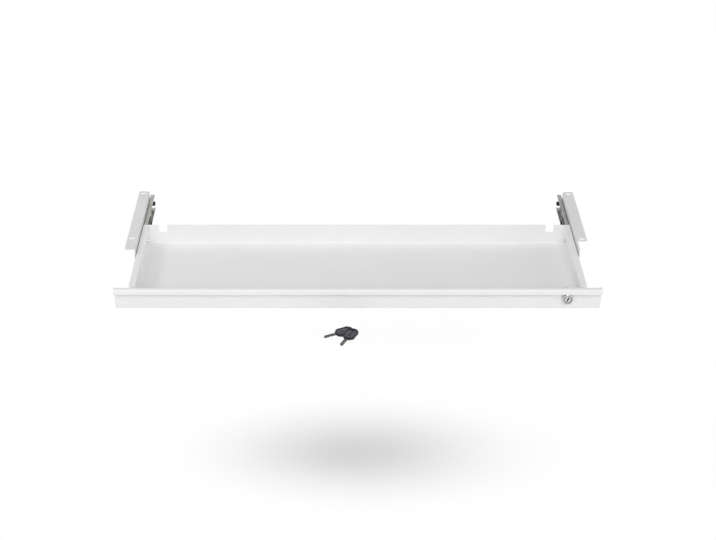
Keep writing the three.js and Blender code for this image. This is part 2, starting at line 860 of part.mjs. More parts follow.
function keyHead() {
  const rise = headThickness / 2;
  const plate = (inset, height) => solid(alongZ(headOutline(inset), -height, height));
  const body = join(plate(0, rise - headRound / 2), plate(headRound / 2, rise));
  const hole = rodAlongY(headHoleRadius, -rise - overrun, rise + overrun, SMALL_ROUND_STEPS);
  hole.rotateX(RIGHT_ANGLE).translate(headHoleInset - headLength, 0, 0);
  const pocketHalf = bladeHeight / 2 + keyPocket;
  const pocketRise = bladeThickness / 2 + keyPocket;
  const pocket = block(
    [-bladeTail - keyPocket, -pocketHalf, -pocketRise],
    [overrun, pocketHalf, pocketRise],
  );
  const panels = [-1, 1].map((side) => headPanel(side, rise));
  return geometryOf(cut(body, solid(hole), solid(pocket), ...panels));
}

const safe = new THREE.Group();

const bracketLengths = {
  left: [leftBracketLength, leftBracketLength],
  right: [rightBracketLength, rightFlangeLength],
};

// The brackets, slides, side walls and screws, drawn on the right and mirrored for the left.
for (const [prefix, side] of [
  ["left", -1],
  ["right", 1],
]) {
  const hand = new THREE.Group();
  hand.scale.x = side;
  safe.add(hand);
  const [webLength, flangeLength] = bracketLengths[prefix];
  hand.add(named(`${prefix}_bracket`, bracket(webLength, flangeLength), whitePaint));
  hand.add(named(`${prefix}_outer_member`, outerMember(), zinc));
  hand.add(named(`${prefix}_middle_member`, middleMember(), zinc));
  hand.add(named(`${prefix}_inner_member`, innerMember(), zinc));
  hand.add(named(`tray_${prefix}_wall`, traySideWall(), whitePaint));
  hand.add(named(`${prefix}_rear_stop`, rearStop(), rubber));
  hand.add(named(`${prefix}_end_guide`, endGuide(), blackPlastic));
  const outerCage = ballCage(slideSheet + runGap, outerBallRow, outerCageShift + outerCageRest);
  const innerCageWeb = middleWeb + slideSheet / 2 + runGap;
  const innerCage = ballCage(innerCageWeb, innerBallRow, innerCageShift + innerCageRest);
  hand.add(named(`${prefix}_outer_ball_cage`, outerCage, steel));
  hand.add(named(`${prefix}_inner_ball_cage`, innerCage, steel));
  for (const [end, screwY] of Object.entries(bracketScrewPlaces)) {
    const shank = seatGap + bracketSheet + seatGap + slideSheet;
    const screw = named(`${prefix}_bracket_screw_${end}`, panHeadScrew(shank), steel);
    screw.position.set(webOuter + seatGap, screwY, slideMid);
    hand.add(screw);
  }
  for (const [end, screwY] of Object.entries(drawerScrewPlaces)) {
    const shank = seatGap + traySheet + seatGap + slideSheet + screwTail;
    const screw = named(`${prefix}_drawer_screw_${end}`, panHeadScrew(shank), steel);
    screw.rotation.z = Math.PI;
    screw.position.set(wallInner - seatGap, screwY, slideMid);
    hand.add(screw);
  }
}

safe.add(named("tray_floor", trayFloor(), whitePaint));
safe.add(named("tray_front_wall", trayFrontWall(), whitePaint));
safe.add(named("tray_back_wall", trayBackWall(), whitePaint));
safe.add(named("front_panel", frontPanel(), whitePaint));

const lock = new THREE.Group();
lock.position.set(lockX, restFace, lockZ);
lock.add(named("lock_barrel", lockBarrel(), nickel));
lock.add(named("lock_plug", lockPlug(), nickel));
lock.add(named("lock_nut", lockNut(), nickel));
lock.add(named("lock_cam", lockCam(), zinc));
lock.add(named("cam_screw", camScrew(), steel));
safe.add(lock);

// The two keys lie on each other as they were laid out with the drawer.
const lowerKeyZ = panelBottom - keyDrop;
const keys = [
  ["lower", lowerKeyAcross, lowerKeyAhead, lowerKeyZ, lowerKeyTurnDegrees],
  ["upper", upperKeyAcross, upperKeyAhead, lowerKeyZ + headThickness + seatGap, upperKeyTurnDegrees],
];
for (const [prefix, across, ahead, height, turn] of keys) {
  const key = new THREE.Group();
  key.position.set(across, restFace - ahead, height);
  key.rotation.z = (turn * Math.PI) / 180;
  key.add(named(`${prefix}_key_blade`, keyBlade(), steel));
  key.add(named(`${prefix}_key_head`, keyHead(), keyPlastic));
  safe.add(key);
}

export default safe;
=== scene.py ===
"""A lockable steel drawer that hangs under a desk, drawn half out, with its two keys, on white.

Lengths are in metres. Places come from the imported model's nodes. The sizes named here are those
of what the nodes leave plain, such as fine bends, sheet edges, screw recesses and key grips.
"""

import json
import math

import bmesh
import bpy
from mathutils import Matrix, Vector


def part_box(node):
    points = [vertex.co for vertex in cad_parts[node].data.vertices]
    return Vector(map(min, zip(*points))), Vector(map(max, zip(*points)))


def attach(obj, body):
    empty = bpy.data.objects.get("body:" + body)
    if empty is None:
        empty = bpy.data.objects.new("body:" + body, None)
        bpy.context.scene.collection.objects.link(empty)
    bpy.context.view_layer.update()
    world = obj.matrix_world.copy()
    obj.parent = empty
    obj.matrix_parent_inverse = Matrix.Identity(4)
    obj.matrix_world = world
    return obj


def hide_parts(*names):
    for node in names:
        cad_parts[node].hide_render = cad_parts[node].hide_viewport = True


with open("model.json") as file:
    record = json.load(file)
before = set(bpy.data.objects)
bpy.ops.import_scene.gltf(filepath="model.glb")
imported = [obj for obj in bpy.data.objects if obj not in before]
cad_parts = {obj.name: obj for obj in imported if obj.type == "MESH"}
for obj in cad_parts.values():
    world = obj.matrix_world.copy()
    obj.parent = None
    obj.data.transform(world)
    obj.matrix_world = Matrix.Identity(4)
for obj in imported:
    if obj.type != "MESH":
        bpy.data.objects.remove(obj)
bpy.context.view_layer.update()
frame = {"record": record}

MM = 0.001
RIGHT_ANGLE = math.pi / 2
BEND_STEPS = 8
ROUND_STEPS = 64
SMALL_ROUND_STEPS = 32
MERGE_DISTANCE = 0.002 * MM
FLAT_ANGLE = math.radians(0.3)

# Sheets
TRAY_SHEET = 1.0 * MM
TRAY_BEND = 1.2 * MM
PANEL_SHEET = 1.2 * MM
PANEL_BEND = 0.7 * MM
PANEL_RETURN = 14 * MM
PANEL_SIDE_RETURN = 6 * MM
LIP_BEND = 2.0 * MM
LIP_DROP = 9.2 * MM
LIP_REACH = 8.6 * MM
BRACKET_SHEET = 1.5 * MM
BRACKET_BEND = 1.5 * MM
BRACKET_CORNER = 2.0 * MM
SLIDE_SHEET = 0.9 * MM
SLIDE_BEND = 0.8 * MM

# Gaps
SEAT_GAP = 0.3 * MM
RUN_GAP = 0.1 * MM
HOLE_GAP = 0.25 * MM
RIM_GAP = 1.4 * MM
KEY_GAP = 0.2 * MM
OVERRUN = 5 * MM

# Broken edges
SHEET_EDGE = 0.16 * MM
MOULDED_EDGE = 0.35 * MM
FINE_EDGE = 0.08 * MM
EDGE_STEPS = 2
SHARP_ANGLE = math.radians(40)

# Brackets: a flange runs the bracket's whole length where no length is given
FLANGE_LENGTHS = {"right": 180 * MM}
SLOT_COUNT = 2
SLOT_LENGTH = 11 * MM
SLOT_WIDTH = 5.5 * MM
SLOT_SPACING = 165 * MM
SLOT_END_INSET = 8 * MM

# Tray
FRONT_WALL_DROP = 4 * MM
NOTCH_SIZE = 14 * MM
NOTCH_INSET = 16.5 * MM
NOTCH_CORNER = 1.2 * MM
SEAM_RADIUS = 1.2 * MM
LOCK_INSET = 20.5 * MM
LOCK_DROP = 19.4 * MM

# Slides
BALL_RADIUS = 1.4 * MM
BALL_COUNT = 7
BALL_DETAIL = 3
BALL_PITCH = 13.3 * MM
HOOK_LENGTH = 1.3 * MM
HOOK_DIP = 0.7 * MM
OUTER_LIP_REACH = 7.5 * MM
MIDDLE_LIP_REACH = 8.9 * MM
INNER_LIP_REACH = 6.4 * MM
WEB_SLOT = (22 * MM, 4.6 * MM)
CROSS_SLOT = (9 * MM, 4.2 * MM)
OUTER_SLOT_SHARES = (-0.2, 0.2)
MIDDLE_SLOT_SHARES = (-0.25, 0.25)
INNER_SLOT_SHARES = (-0.3, 0.3)
CAGE_SHEET = 0.35 * MM
CAGE_LEG_SHEET = 0.5 * MM
CAGE_LEG_MARGIN = 1.7 * MM
GUIDE_BRIDGE = 2.2 * MM
GUIDE_WALL = 0.9 * MM
GUIDE_LINER = 1.5 * MM

# Screws
SCREW_RADIUS = 2 * MM
SCREW_TIP = 0.3 * MM
SCREW_HEAD_RADIUS = 3.4 * MM
SCREW_HEAD_HEIGHT = 1.4 * MM
RECESS_WIDTH = 0.8 * MM
RECESS_SPAN = 3.4 * MM
RECESS_DEPTH = 0.9 * MM
BRACKET_SCREW_SHANK = 3.0 * MM
DRAWER_SCREW_SHANK = 3.9 * MM

# Lock
FACE_RADIUS = 9 * MM
FACE_PROUD = 6.5 * MM
FACE_ROUND = 1.2 * MM
BARREL_RADIUS = 7.9 * MM
BARREL_LENGTH = 20 * MM
PLUG_RADIUS = 5.6 * MM
PLUG_RECESS = 0.8 * MM
PLUG_CHAMFER = 0.35 * MM
KEYWAY_HEIGHT = 7.4 * MM
KEYWAY_DEPTH = 14 * MM
KEYWAY_TILT = math.radians(25)
THREAD_PITCH = 1.0 * MM
THREAD_DEPTH = 0.4 * MM
GROOVE_WIDTH = 1.0 * MM
GROOVE_DEPTH = 1.3 * MM
GROOVE_CHAMFER = 0.25 * MM
# How far past the groove the groove's painted shade reaches
GROOVE_SHADE_MARGIN = 0.2 * MM
NUT_ACROSS_FLATS = 20 * MM
NUT_HEIGHT = 4 * MM
CAM_THICKNESS = 2 * MM
CAM_WIDTH = 13 * MM
CAM_REACH = 23.5 * MM
CAM_TIP_WIDTH = 9 * MM
CAM_TIP_ROUND = 2 * MM
CAM_SQUARE = 6.6 * MM
CAM_SCREW_RADIUS = 1.7 * MM
CAM_SCREW_HEAD_RADIUS = 3.6 * MM
CAM_SCREW_HEAD_HEIGHT = 2.2 * MM
CAM_SCREW_DEPTH = 7 * MM

# Keys
BLADE_THICKNESS = 1.9 * MM
BLADE_LENGTH = 22 * MM
BLADE_HEIGHT = 5.4 * MM
BLADE_TIP = 3 * MM
BLADE_TAIL = 7 * MM
BLADE_GROOVE_WIDTH = 1.5 * MM
BLADE_GROOVE_DEPTH = 0.45 * MM
BLADE_GROOVE_PLACES = (-BLADE_HEIGHT / 6, -BLADE_HEIGHT / 4)
BITE_DEPTHS = (1.0 * MM, 1.7 * MM, 0.7 * MM)
BITE_PITCH = 4.6 * MM
BITE_FLAT = BITE_PITCH / 4
BITE_START = 6.4 * MM
HEAD_LENGTH = 29 * MM
HEAD_WIDTH = 19 * MM
HEAD_CORNER = 5.3 * MM
HEAD_NECK = 8.6 * MM
HEAD_FLARE = 5 * MM
HEAD_ROUND = 2.2 * MM
HEAD_NECK_ROUND = 0.6 * MM
HEAD_HOLE_RADIUS = 1.9 * MM
HEAD_HOLE_INSET = 5 * MM
HEAD_HOLE_PLACE = (HEAD_HOLE_INSET - HEAD_LENGTH, 0, 0)
HEAD_BOSS_WALL = 1.3 * MM
HEAD_RIM = 2.2 * MM
HEAD_PANEL_DEPTH = 0.7 * MM
HEAD_RIDGE_WIDTH = 1.3 * MM
HEAD_RIDGE_PITCH = 3.4 * MM
HEAD_RIDGE_LENGTH = 7.5 * MM
HEAD_RIDGE_COUNT = 4
HEAD_RIDGE_MIDDLE = -0.45 * HEAD_LENGTH
KEY_POCKET = 0.15 * MM
# A face lies level where its normal's Z, up or down, is over this
LEVEL_NORMAL = 0.9
# Each key's place across and ahead of the panel, and its turn in degrees
KEYS = {"lower": (-34.7 * MM, 47.5 * MM, 207.5), "upper": (-17.9 * MM, 68.7 * MM, 244.4)}

# Camera
CAMERA_PLACE = (-0.0285, -2.220, 1.178)
CAMERA_DOWN = math.radians(30)
FRAME_WIDTH_PX = 716
FOCAL_PX = 1458
CENTRE_SHIFT_PX = 18
SENSOR_WIDTH_MM = 36
CLIP_END = 50

# Stage: the light from below and above, the floor's levels, and its painted shadow
WORLD_LOW = 0.86
WORLD_HIGH = 0.18
FLOOR_Z = -0.457
FLOOR_SIZE = 16
FLOOR_TONE = 0.12
FLOOR_GLOW = 0.91
FLOOR_COVERED = 0.625
FLOOR_BOUNCE = (0.90, 0.90, 0.90, 1)
SHADOW_REACH = 1.0
SHADOW_SHARE = 0.2
SHADOW_SAMPLES = 32
# The painted shadow: the middle, half-widths and fall of a soft ellipse on the floor
PAINTED_SHADOW_PLACE = (0.004, -0.055, 0)
PAINTED_SHADOW_SIZE = (0.62, 0.304, 1)
PAINTED_SHADOW_FALL = 3

# Each sun's strength, and its spread, elevation and azimuth in degrees
SUNS = {"key": (1.26, 30, 39, 0), "right": (0.54, 50, 18, 80)}
# A nearer lamp, so that the left end is a little lighter than the right one
LAMP_PLACE = Vector((-2.2, -0.4, 2.2))
LAMP_WATTS = 18.3
LAMP_SIZE = 1.1

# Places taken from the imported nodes
side_wall_low, side_wall_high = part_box("tray_right_wall")
panel_low, panel_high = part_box("front_panel")
outer_low, outer_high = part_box("right_outer_member")
middle_low, middle_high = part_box("right_middle_member")
inner_low, inner_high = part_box("right_inner_member")
rim_top = side_wall_high.z
floor_bottom = side_wall_low.z
rim_edge = side_wall_high.x
slide_face = inner_low.x
slide_back = outer_high.x
slide_mid = (outer_low.z + outer_high.z) / 2
wall_outer = slide_face - SEAT_GAP
wall_inner = wall_outer - TRAY_SHEET
web_inner = rim_edge + RIM_GAP
panel_half = panel_high.x
panel_face = panel_low.y + LIP_REACH
tray_front = side_wall_low.y
tray_back = side_wall_high.y
lock_place = Vector((wall_inner - LOCK_INSET, panel_face, rim_top - LOCK_DROP))
outer_line = (outer_high.z - outer_low.z - SLIDE_SHEET) / 2
ball_lane = 2 * BALL_RADIUS + 2 * RUN_GAP
middle_line = outer_line - SLIDE_SHEET - ball_lane
inner_line = middle_line - SLIDE_SHEET - ball_lane
outer_ball_row = (outer_line + middle_line) / 2
inner_ball_row = (middle_line + inner_line) / 2
middle_web = 1.5 * SLIDE_SHEET + CAGE_SHEET + 3 * RUN_GAP
inner_web = slide_back - slide_face - SLIDE_SHEET / 2
ball_line = (slide_back - slide_face) / 2 + RUN_GAP

node_body = {n: b for b, nodes in frame["record"]["behaviour"]["bodies"].items() for n in nodes}

# Outlines


def centre_line(points, bends):
    """A folded strip's centre line, each bend an arc: places with their left normals."""
    corners = [Vector(p) for p in points]
    along = [(b - a).normalized() for a, b in zip(corners, corners[1:])]

    def left(d, turn=0.0):
        across = Vector((-d.y, d.x))
        across.rotate(Matrix.Rotation(turn, 2))
        return across

    line = [(corners[0], left(along[0]))]
    for corner, before, after, radius in zip(corners[1:-1], along, along[1:], bends):
        turn = math.atan2(before.cross(after), before.dot(after))
        side = math.copysign(1, turn)
        start = corner - before * radius * math.tan(abs(turn) / 2)
        centre = start + left(before) * side * radius
        for k in range(BEND_STEPS + 1):
            normal = left(before, turn * k / BEND_STEPS)
            line.append((centre - normal * side * radius, normal))
    line.append((corners[-1], left(along[-1])))
    return line


def folded(points, sheet, bends):
    """The outline of a sheet folded along a line. A bend is its inner face's radius."""
    radii = bends if isinstance(bends, (list, tuple)) else [bends] * (len(points) - 2)
    line = centre_line(points, [radius + sheet / 2 for radius in radii])
    right = [place - normal * sheet / 2 for place, normal in line]
    left = [place + normal * sheet / 2 for place, normal in line]
    return right + left[::-1]


def rounded(points, radii):
    """A closed outline with its corners rounded."""
    count = len(points)
    made = []
    for i, radius in enumerate(radii):
        corner = Vector(points[i])
        before = (corner - Vector(points[i - 1])).normalized()
        after = (Vector(points[(i + 1) % count]) - corner).normalized()
        turn = math.atan2(before.cross(after), before.dot(after))
        side = math.copysign(1, turn)
        start = corner - before * radius * math.tan(abs(turn) / 2)
        normal = Vector((-before.y, before.x)) * side
        centre = start + normal * radius
        for k in range(BEND_STEPS + 1):
            arm = -normal * radius
            arm.rotate(Matrix.Rotation(turn * k / BEND_STEPS, 2))
            made.append(centre + arm)
    return made


def arc(centre, radius, start, turn, steps=BEND_STEPS):
    """Places along an arc, with both its ends."""
    angles = [start + turn * k / steps for k in range(steps + 1)]
    return [(centre[0] + radius * math.cos(a), centre[1] + radius * math.sin(a)) for a in angles]


def slot_outline(length, width):
    half, radius, steps = (length - width) / 2, width / 2, SMALL_ROUND_STEPS // 2
    right = arc((half, 0), radius, -RIGHT_ANGLE, math.pi, steps)
    return right + arc((-half, 0), radius, RIGHT_ANGLE, math.pi, steps)


def circle(radius, steps=SMALL_ROUND_STEPS):
    turns = [2 * math.pi * k / steps for k in range(steps)]
    return [(radius * math.cos(a), radius * math.sin(a)) for a in turns]


def rectangle(a0, b0, a1, b1):
    return [(a0, b0), (a1, b0), (a1, b1), (a0, b1)]


# Meshes

RUN = {
    "X": lambda a, b, t: (t, a, b),
    "Y": lambda a, b, t: (a, t, b),
    "Z": lambda a, b, t: (a, b, t),
}


def object_of(bm, name="part"):
    bmesh.ops.recalc_face_normals(bm, faces=bm.faces)
    mesh = bpy.data.meshes.new(name)
    bm.to_mesh(mesh)
    bm.free()
    made = bpy.data.objects.new(name, mesh)
    bpy.context.scene.collection.objects.link(made)
    return made


def prism(outline, axis, start, end):
    """An outline run along an axis, closed at both ends."""
    bm = bmesh.new()
    ends = [[bm.verts.new(RUN[axis](p[0], p[1], t)) for p in outline] for t in (start, end)]
    bm.faces.new(ends[0])
    bm.faces.new(ends[1][::-1])
    for i in range(len(outline)):
        j = (i + 1) % len(outline)
        bm.faces.new((ends[0][i], ends[0][j], ends[1][j], ends[1][i]))
    return object_of(bm)


def block(low, high):
    return prism(rectangle(low[0], low[1], high[0], high[1]), "Z", low[2], high[2])


def revolved(profile, axis, steps=ROUND_STEPS):
    """A profile of radius and height turned about an axis through the origin."""
    bm = bmesh.new()
    rings = []
    for radius, height in profile:
        if radius == 0:
            rings.append([bm.verts.new(RUN[axis](0, 0, height))] * steps)
            continue
        turns = [2 * math.pi * k / steps for k in range(steps)]
        places = [(radius * math.cos(a), radius * math.sin(a)) for a in turns]
        rings.append([bm.verts.new(RUN[axis](a, b, height)) for a, b in places])
    closed = profile[0][0] != 0
    pairs = list(zip(rings, rings[1:])) + ([(rings[-1], rings[0])] if closed else [])
    for first, second in pairs:
        for k in range(steps):
            corners = (first[k], first[(k + 1) % steps], second[(k + 1) % steps], second[k])
            bm.faces.new(dict.fromkeys(corners))
    return object_of(bm)


def moved(obj, place=(0, 0, 0), turn=None):
    """The mesh itself is moved, so that the object stays at the origin."""
    matrix = Matrix.Translation(place)
    obj.data.transform(matrix @ turn if turn else matrix)
    return obj


def combined(target, operation, tools):
    """The target joined with, or cut by, the tools, which are used up."""
    group = bpy.data.collections.new("tools")
    for tool in tools:
        group.objects.link(tool)
    change = target.modifiers.new("change", "BOOLEAN")
    change.operation = operation
    change.operand_type = "COLLECTION"
    change.collection = group
    change.solver = "EXACT"
    bpy.context.view_layer.update()
    graph = bpy.context.evaluated_depsgraph_get()
    mesh = bpy.data.meshes.new_from_object(target.evaluated_get(graph))
    target.modifiers.clear()
    target.data = mesh
    for tool in tools:
        bpy.data.objects.remove(tool)
    bpy.data.collections.remove(group)
    bm = bmesh.new()
    bm.from_mesh(mesh)
    bmesh.ops.remove_doubles(bm, verts=bm.verts, dist=MERGE_DISTANCE)
    bmesh.ops.dissolve_limit(bm, angle_limit=FLAT_ANGLE, verts=bm.verts, edges=bm.edges)
    bm.to_mesh(mesh)
    bm.free()
    return target


def joined(*parts):
    return combined(parts[0], "UNION", parts[1:])


def cut(target, *tools):
    return combined(target, "DIFFERENCE", tools)


def on_side(obj, side):
    """Drawn on the right-hand side: the left-hand one is its mirror image."""
    if side < 0:
        bm = bmesh.new()
        bm.from_mesh(obj.data)
        bmesh.ops.scale(bm, vec=(-1, 1, 1), verts=bm.verts)
        bmesh.ops.reverse_faces(bm, faces=bm.faces)
        bm.to_mesh(obj.data)
        bm.free()
    return obj


def piece(obj, name, nodes, finish, edge=SHEET_EDGE, stands_for=True):
    """A finished piece that moves with its nodes' body and, as a rule, stands for the nodes."""
    nodes = [nodes] if isinstance(nodes, str) else nodes
    obj.name = name
    obj.data.name = name
    obj.data.materials.clear()
    obj.data.materials.append(finish)
    obj.data.shade_smooth()
    obj.data.set_sharp_from_angle(angle=SHARP_ANGLE)
    if edge:
        bevel = obj.modifiers.new("edges", "BEVEL")
        bevel.width = edge
        bevel.segments = EDGE_STEPS
        bevel.limit_method = "ANGLE"
        bevel.angle_limit = SHARP_ANGLE
        bevel.harden_normals = True
        bevel.use_clamp_overlap = True
    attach(obj, node_body[nodes[0]])
    if stands_for:
        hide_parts(*nodes)
    return obj


def repaint(obj, finish, chosen):
    """Gives the chosen faces a second finish."""
    obj.data.materials.append(finish)
    for face in obj.data.polygons:
        face.material_index = int(chosen(face))


# Finishes


class Nodes:
    """Adds nodes to the tree of a material or of the world."""

    def __init__(self, tree):
        self.tree = tree

    def put(self, value, socket):
        """Links another node's output to the socket, or sets the socket's own value."""
        if isinstance(value, bpy.types.NodeSocket):
            self.tree.links.new(value, socket)
        else:
            socket.default_value = value

    def node(self, kind, inputs=(), **settings):
        made = self.tree.nodes.new(kind)
        for name, value in settings.items():
            setattr(made, name, value)
        for name, value in dict(inputs).items():
            self.put(value, made.inputs[name])
        return made

    def between(self, value, low, high, start=0.3, end=0.7, **settings):
        """A value from start to end, brought to the range from low to high."""
        inputs = {"Value": value, "From Min": start, "From Max": end, "To Min": low, "To Max": high}
        return self.node("ShaderNodeMapRange", inputs, **settings).outputs["Result"]

    def maths(self, operation, first, second):
        return self.node("ShaderNodeMath", {0: first, 1: second}, operation=operation).outputs[0]


class Finish(Nodes):
    """A node material: its textures are laid out in the object's own space."""

    def __init__(self, name, **settings):
        self.material = bpy.data.materials.new(name)
        self.material.use_nodes = True
        super().__init__(self.material.node_tree)
        self.shader = self.tree.nodes["Principled BSDF"]
        self.use(**settings)
        self.place = self.node("ShaderNodeTexCoord").outputs["Object"]

    def stretched(self, scale):
        return self.node("ShaderNodeMapping", {"Vector": self.place, "Scale": scale}).outputs[0]

    def noise(self, scale, detail, place=None):
        inputs = {"Vector": place or self.place, "Scale": scale, "Detail": detail}
        return self.node("ShaderNodeTexNoise", inputs).outputs["Fac"]

    def cells(self, scale):
        made = self.node("ShaderNodeTexVoronoi", {"Vector": self.place, "Scale": scale})
        return made.outputs["Distance"]

    def ramp(self, value, *stops):
        made = self.node("ShaderNodeValToRGB", {"Fac": value})
        elements = made.color_ramp.elements
        while len(elements) < len(stops):
            elements.new(0.5)
        for element, (where, colour) in zip(elements, stops):
            element.position = where
            element.color = (*colour, 1)
        return made.outputs["Color"]

    def blend(self, share, first, second):
        made = self.node("ShaderNodeMix", data_type="RGBA")
        sockets = {"Factor_Float": share}
        for identifier, colour in (("A_Color", first), ("B_Color", second)):
            given = isinstance(colour, bpy.types.NodeSocket)
            sockets[identifier] = colour if given else (*colour, 1)
        for identifier, value in sockets.items():
            self.put(value, next(s for s in made.inputs if s.identifier == identifier))
        return next(s for s in made.outputs if s.identifier == "Result_Color")

    def bump(self, height, distance, normal=None):
        inputs = {"Height": height, "Distance": distance, "Strength": 1.0}
        if normal:
            inputs["Normal"] = normal
        return self.node("ShaderNodeBump", inputs).outputs["Normal"]

    def use(self, **sockets):
        for name, value in sockets.items():
            self.put(value, self.shader.inputs[name.replace("_", " ")])
        return self.material


def powder_coat(name, dark, light):
    """Satin powder coat: orange peel, a fine grain and a few dust nibs."""
    f = Finish(name, Metallic=0.0, Specular_IOR_Level=0.22)
    tone = f.ramp(f.noise(7, 3), (0.3, dark), (0.7, light))
    speck = f.between(f.noise(1250, 0), 0.0, 0.30, 0.81, 0.84)
    colour = f.blend(speck, tone, (0.62, 0.62, 0.62))
    peel = f.bump(f.noise(520, 2), 0.08 * MM)
    grain = f.bump(f.noise(2600, 1), 0.012 * MM, peel)
    gloss = f.between(f.noise(45, 3), 0.48, 0.60)
    return f.use(Base_Color=colour, Roughness=gloss, Normal=grain)


def zinc(name, dark, light, streak):
    """Zinc plate on rolled steel: lines along the section, a faint spangle and dull clouds."""
    f = Finish(name, Metallic=1.0, Anisotropic=0.35)
    lines = f.noise(1, 4, f.stretched((1400, streak, 1400)))
    spangle = f.between(f.cells(260), 0.0, 1.0, 0.0, 0.9)
    clouds = f.noise(60, 4)
    tone = f.ramp(clouds, (0.32, dark), (0.68, light))
    colour = f.blend(f.maths("MULTIPLY", spangle, 0.18), tone, dark)
    colour = f.blend(f.maths("MULTIPLY", lines, 0.16), colour, light)
    gloss = f.between(lines, 0.24, 0.46)
    rub = f.bump(lines, 0.012 * MM)
    return f.use(Base_Color=colour, Roughness=gloss, Normal=f.bump(clouds, 0.03 * MM, rub))


def bright_steel():
    """Ground and plated steel, for balls, cages and screws."""
    f = Finish("bright_steel", Metallic=1.0)
    clouds = f.noise(380, 3)
    scratches = f.noise(1, 3, f.stretched((300, 2600, 900)))
    tone = f.ramp(clouds, (0.3, (0.50, 0.50, 0.50)), (0.7, (0.62, 0.62, 0.615)))
    gloss = f.between(clouds, 0.16, 0.32)
    return f.use(Base_Color=tone, Roughness=gloss, Normal=f.bump(scratches, 0.008 * MM))


def nickel(name, dark, light):
    """Nickel plate over a turned surface."""
    f = Finish(name, Metallic=1.0)
    clouds = f.noise(240, 3)
    pits = f.between(f.noise(2200, 1), 1.0, 0.0, 0.2, 0.3)
    tone = f.blend(f.maths("MULTIPLY", pits, 0.5), f.ramp(clouds, (0.3, dark), (0.7, light)), dark)
    gloss = f.between(clouds, 0.14, 0.3)
    return f.use(Base_Color=tone, Roughness=gloss, Normal=f.bump(f.noise(900, 2), 0.01 * MM))


def moulded(name, dark, light, grain, rough, shine=0.5):
    """Moulded plastic or rubber: a fine spark grain, and flow marks in its gloss."""
    f = Finish(name, Metallic=0.0, Specular_IOR_Level=shine)
    flow = f.noise(1, 4, f.stretched((90, 260, 140)))
    tone = f.ramp(flow, (0.3, dark), (0.7, light))
    gloss = f.between(flow, rough - 0.08, rough + 0.08)
    bumps = f.bump(f.noise(grain, 2), 0.03 * MM)
    return f.use(Base_Color=tone, Roughness=gloss, Normal=bumps)


white = powder_coat("white_powder_coat", (0.822, 0.823, 0.826), (0.852, 0.852, 0.854))
bracket_white = powder_coat("bracket_powder_coat", (0.73, 0.73, 0.732), (0.77, 0.77, 0.772))
# The right slides get a darker copy of the left's zinc plate: painted shade
zinc_plates = {
    "left": zinc("zinc_plate", (0.34, 0.342, 0.315), (0.47, 0.47, 0.44), 14),
    "right": zinc("painted_shade_zinc_plate", (0.27, 0.27, 0.262), (0.38, 0.38, 0.37), 14),
}
cam_plate = zinc("cam_plate", (0.40, 0.40, 0.38), (0.52, 0.52, 0.50), 300)
steel = bright_steel()
face_nickel = nickel("nickel_plate", (0.51, 0.51, 0.515), (0.70, 0.70, 0.71))
blade_nickel = nickel("blade_nickel", (0.11, 0.11, 0.11), (0.21, 0.21, 0.205))
black_plastic = moulded("black_plastic", (0.012, 0.012, 0.013), (0.024, 0.024, 0.025), 1800, 0.42)
rubber = moulded("rubber", (0.010, 0.010, 0.010), (0.022, 0.021, 0.020), 1300, 0.78)
screw_zinc = nickel("screw_zinc", (0.66, 0.66, 0.665), (0.78, 0.78, 0.78))
# A darker nickel for the faces in the bezel's groove: painted shade in the recess
groove_shade_nickel = nickel("groove_shade_nickel", (0.25, 0.25, 0.253), (0.38, 0.38, 0.384))
key_plastic = moulded("key_plastic", (0.024, 0.023, 0.029), (0.042, 0.040, 0.048), 2400, 0.40, 0.15)
key_panel = moulded("key_panel", (0.085, 0.080, 0.098), (0.130, 0.124, 0.146), 3200, 0.52, 0.3)

# Sheet-metal pieces


def screw_holes(prefix, group, low, high):
    """Cutters along X for the holes of a group's two screws."""
    tools = []
    for end in ("front", "rear"):
        screw_low, screw_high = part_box(f"{prefix}_{group}_screw_{end}")
        hole = prism(circle(SCREW_RADIUS + HOLE_GAP), "X", low, high)
        tools.append(moved(hole, (0, (screw_low.y + screw_high.y) / 2, slide_mid)))
    return tools


def barrel_hole(y):
    """A cutter along Y for the lock barrel's hole through a sheet at y."""
    hole = prism(circle(BARREL_RADIUS + HOLE_GAP), "Y", y - OVERRUN, y + OVERRUN)
    return moved(hole, (lock_place.x, 0, lock_place.z))


def bracket(side, prefix):
    low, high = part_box(f"{prefix}_bracket")
    middle = web_inner + BRACKET_SHEET / 2
    reach = max(abs(low.x), abs(high.x))
    top_middle = high.z - BRACKET_SHEET / 2
    outline = folded(
        [(middle, low.z), (middle, top_middle), (reach, top_middle)],
        BRACKET_SHEET,
        BRACKET_BEND,
    )
    body = prism(outline, "Y", low.y, high.y)
    slot_x = (web_inner + BRACKET_SHEET + reach) / 2
    slots = [high.y - SLOT_END_INSET - i * SLOT_SPACING for i in range(SLOT_COUNT)]
    front = high.y - FLANGE_LENGTHS[prefix] if prefix in FLANGE_LENGTHS else low.y
    tools = []
    if front > low.y:
        bend = high.z - BRACKET_SHEET - BRACKET_BEND
        outer = web_inner + BRACKET_SHEET
        tools.append(block((outer, low.y - OVERRUN, bend), (reach + OVERRUN, front, OVERRUN)))
    for y in slots:
        slot = prism(slot_outline(SLOT_LENGTH, SLOT_WIDTH), "Z", -OVERRUN, OVERRUN)
        tools.append(moved(slot, (slot_x, y, high.z)))
    for y, inward in ((front, 1), (high.y, -1)):
        tools.append(corner_tool(reach, y, inward, high.z))
    tools += screw_holes(prefix, "bracket", web_inner - OVERRUN, reach + OVERRUN)
    return on_side(cut(body, *tools), side)


def corner_tool(x, y, inward, z):
    """What a square corner loses when it is rounded: x is its outer edge."""
    radius = BRACKET_CORNER
    outline = [(x + OVERRUN, y - inward * OVERRUN), (x + OVERRUN, y + inward * radius)]
    outline += arc((x - radius, y + inward * radius), radius, 0, -inward * RIGHT_ANGLE)
    outline.append((x - radius, y - inward * OVERRUN))
    return prism(outline, "Z", z - OVERRUN, z + OVERRUN)


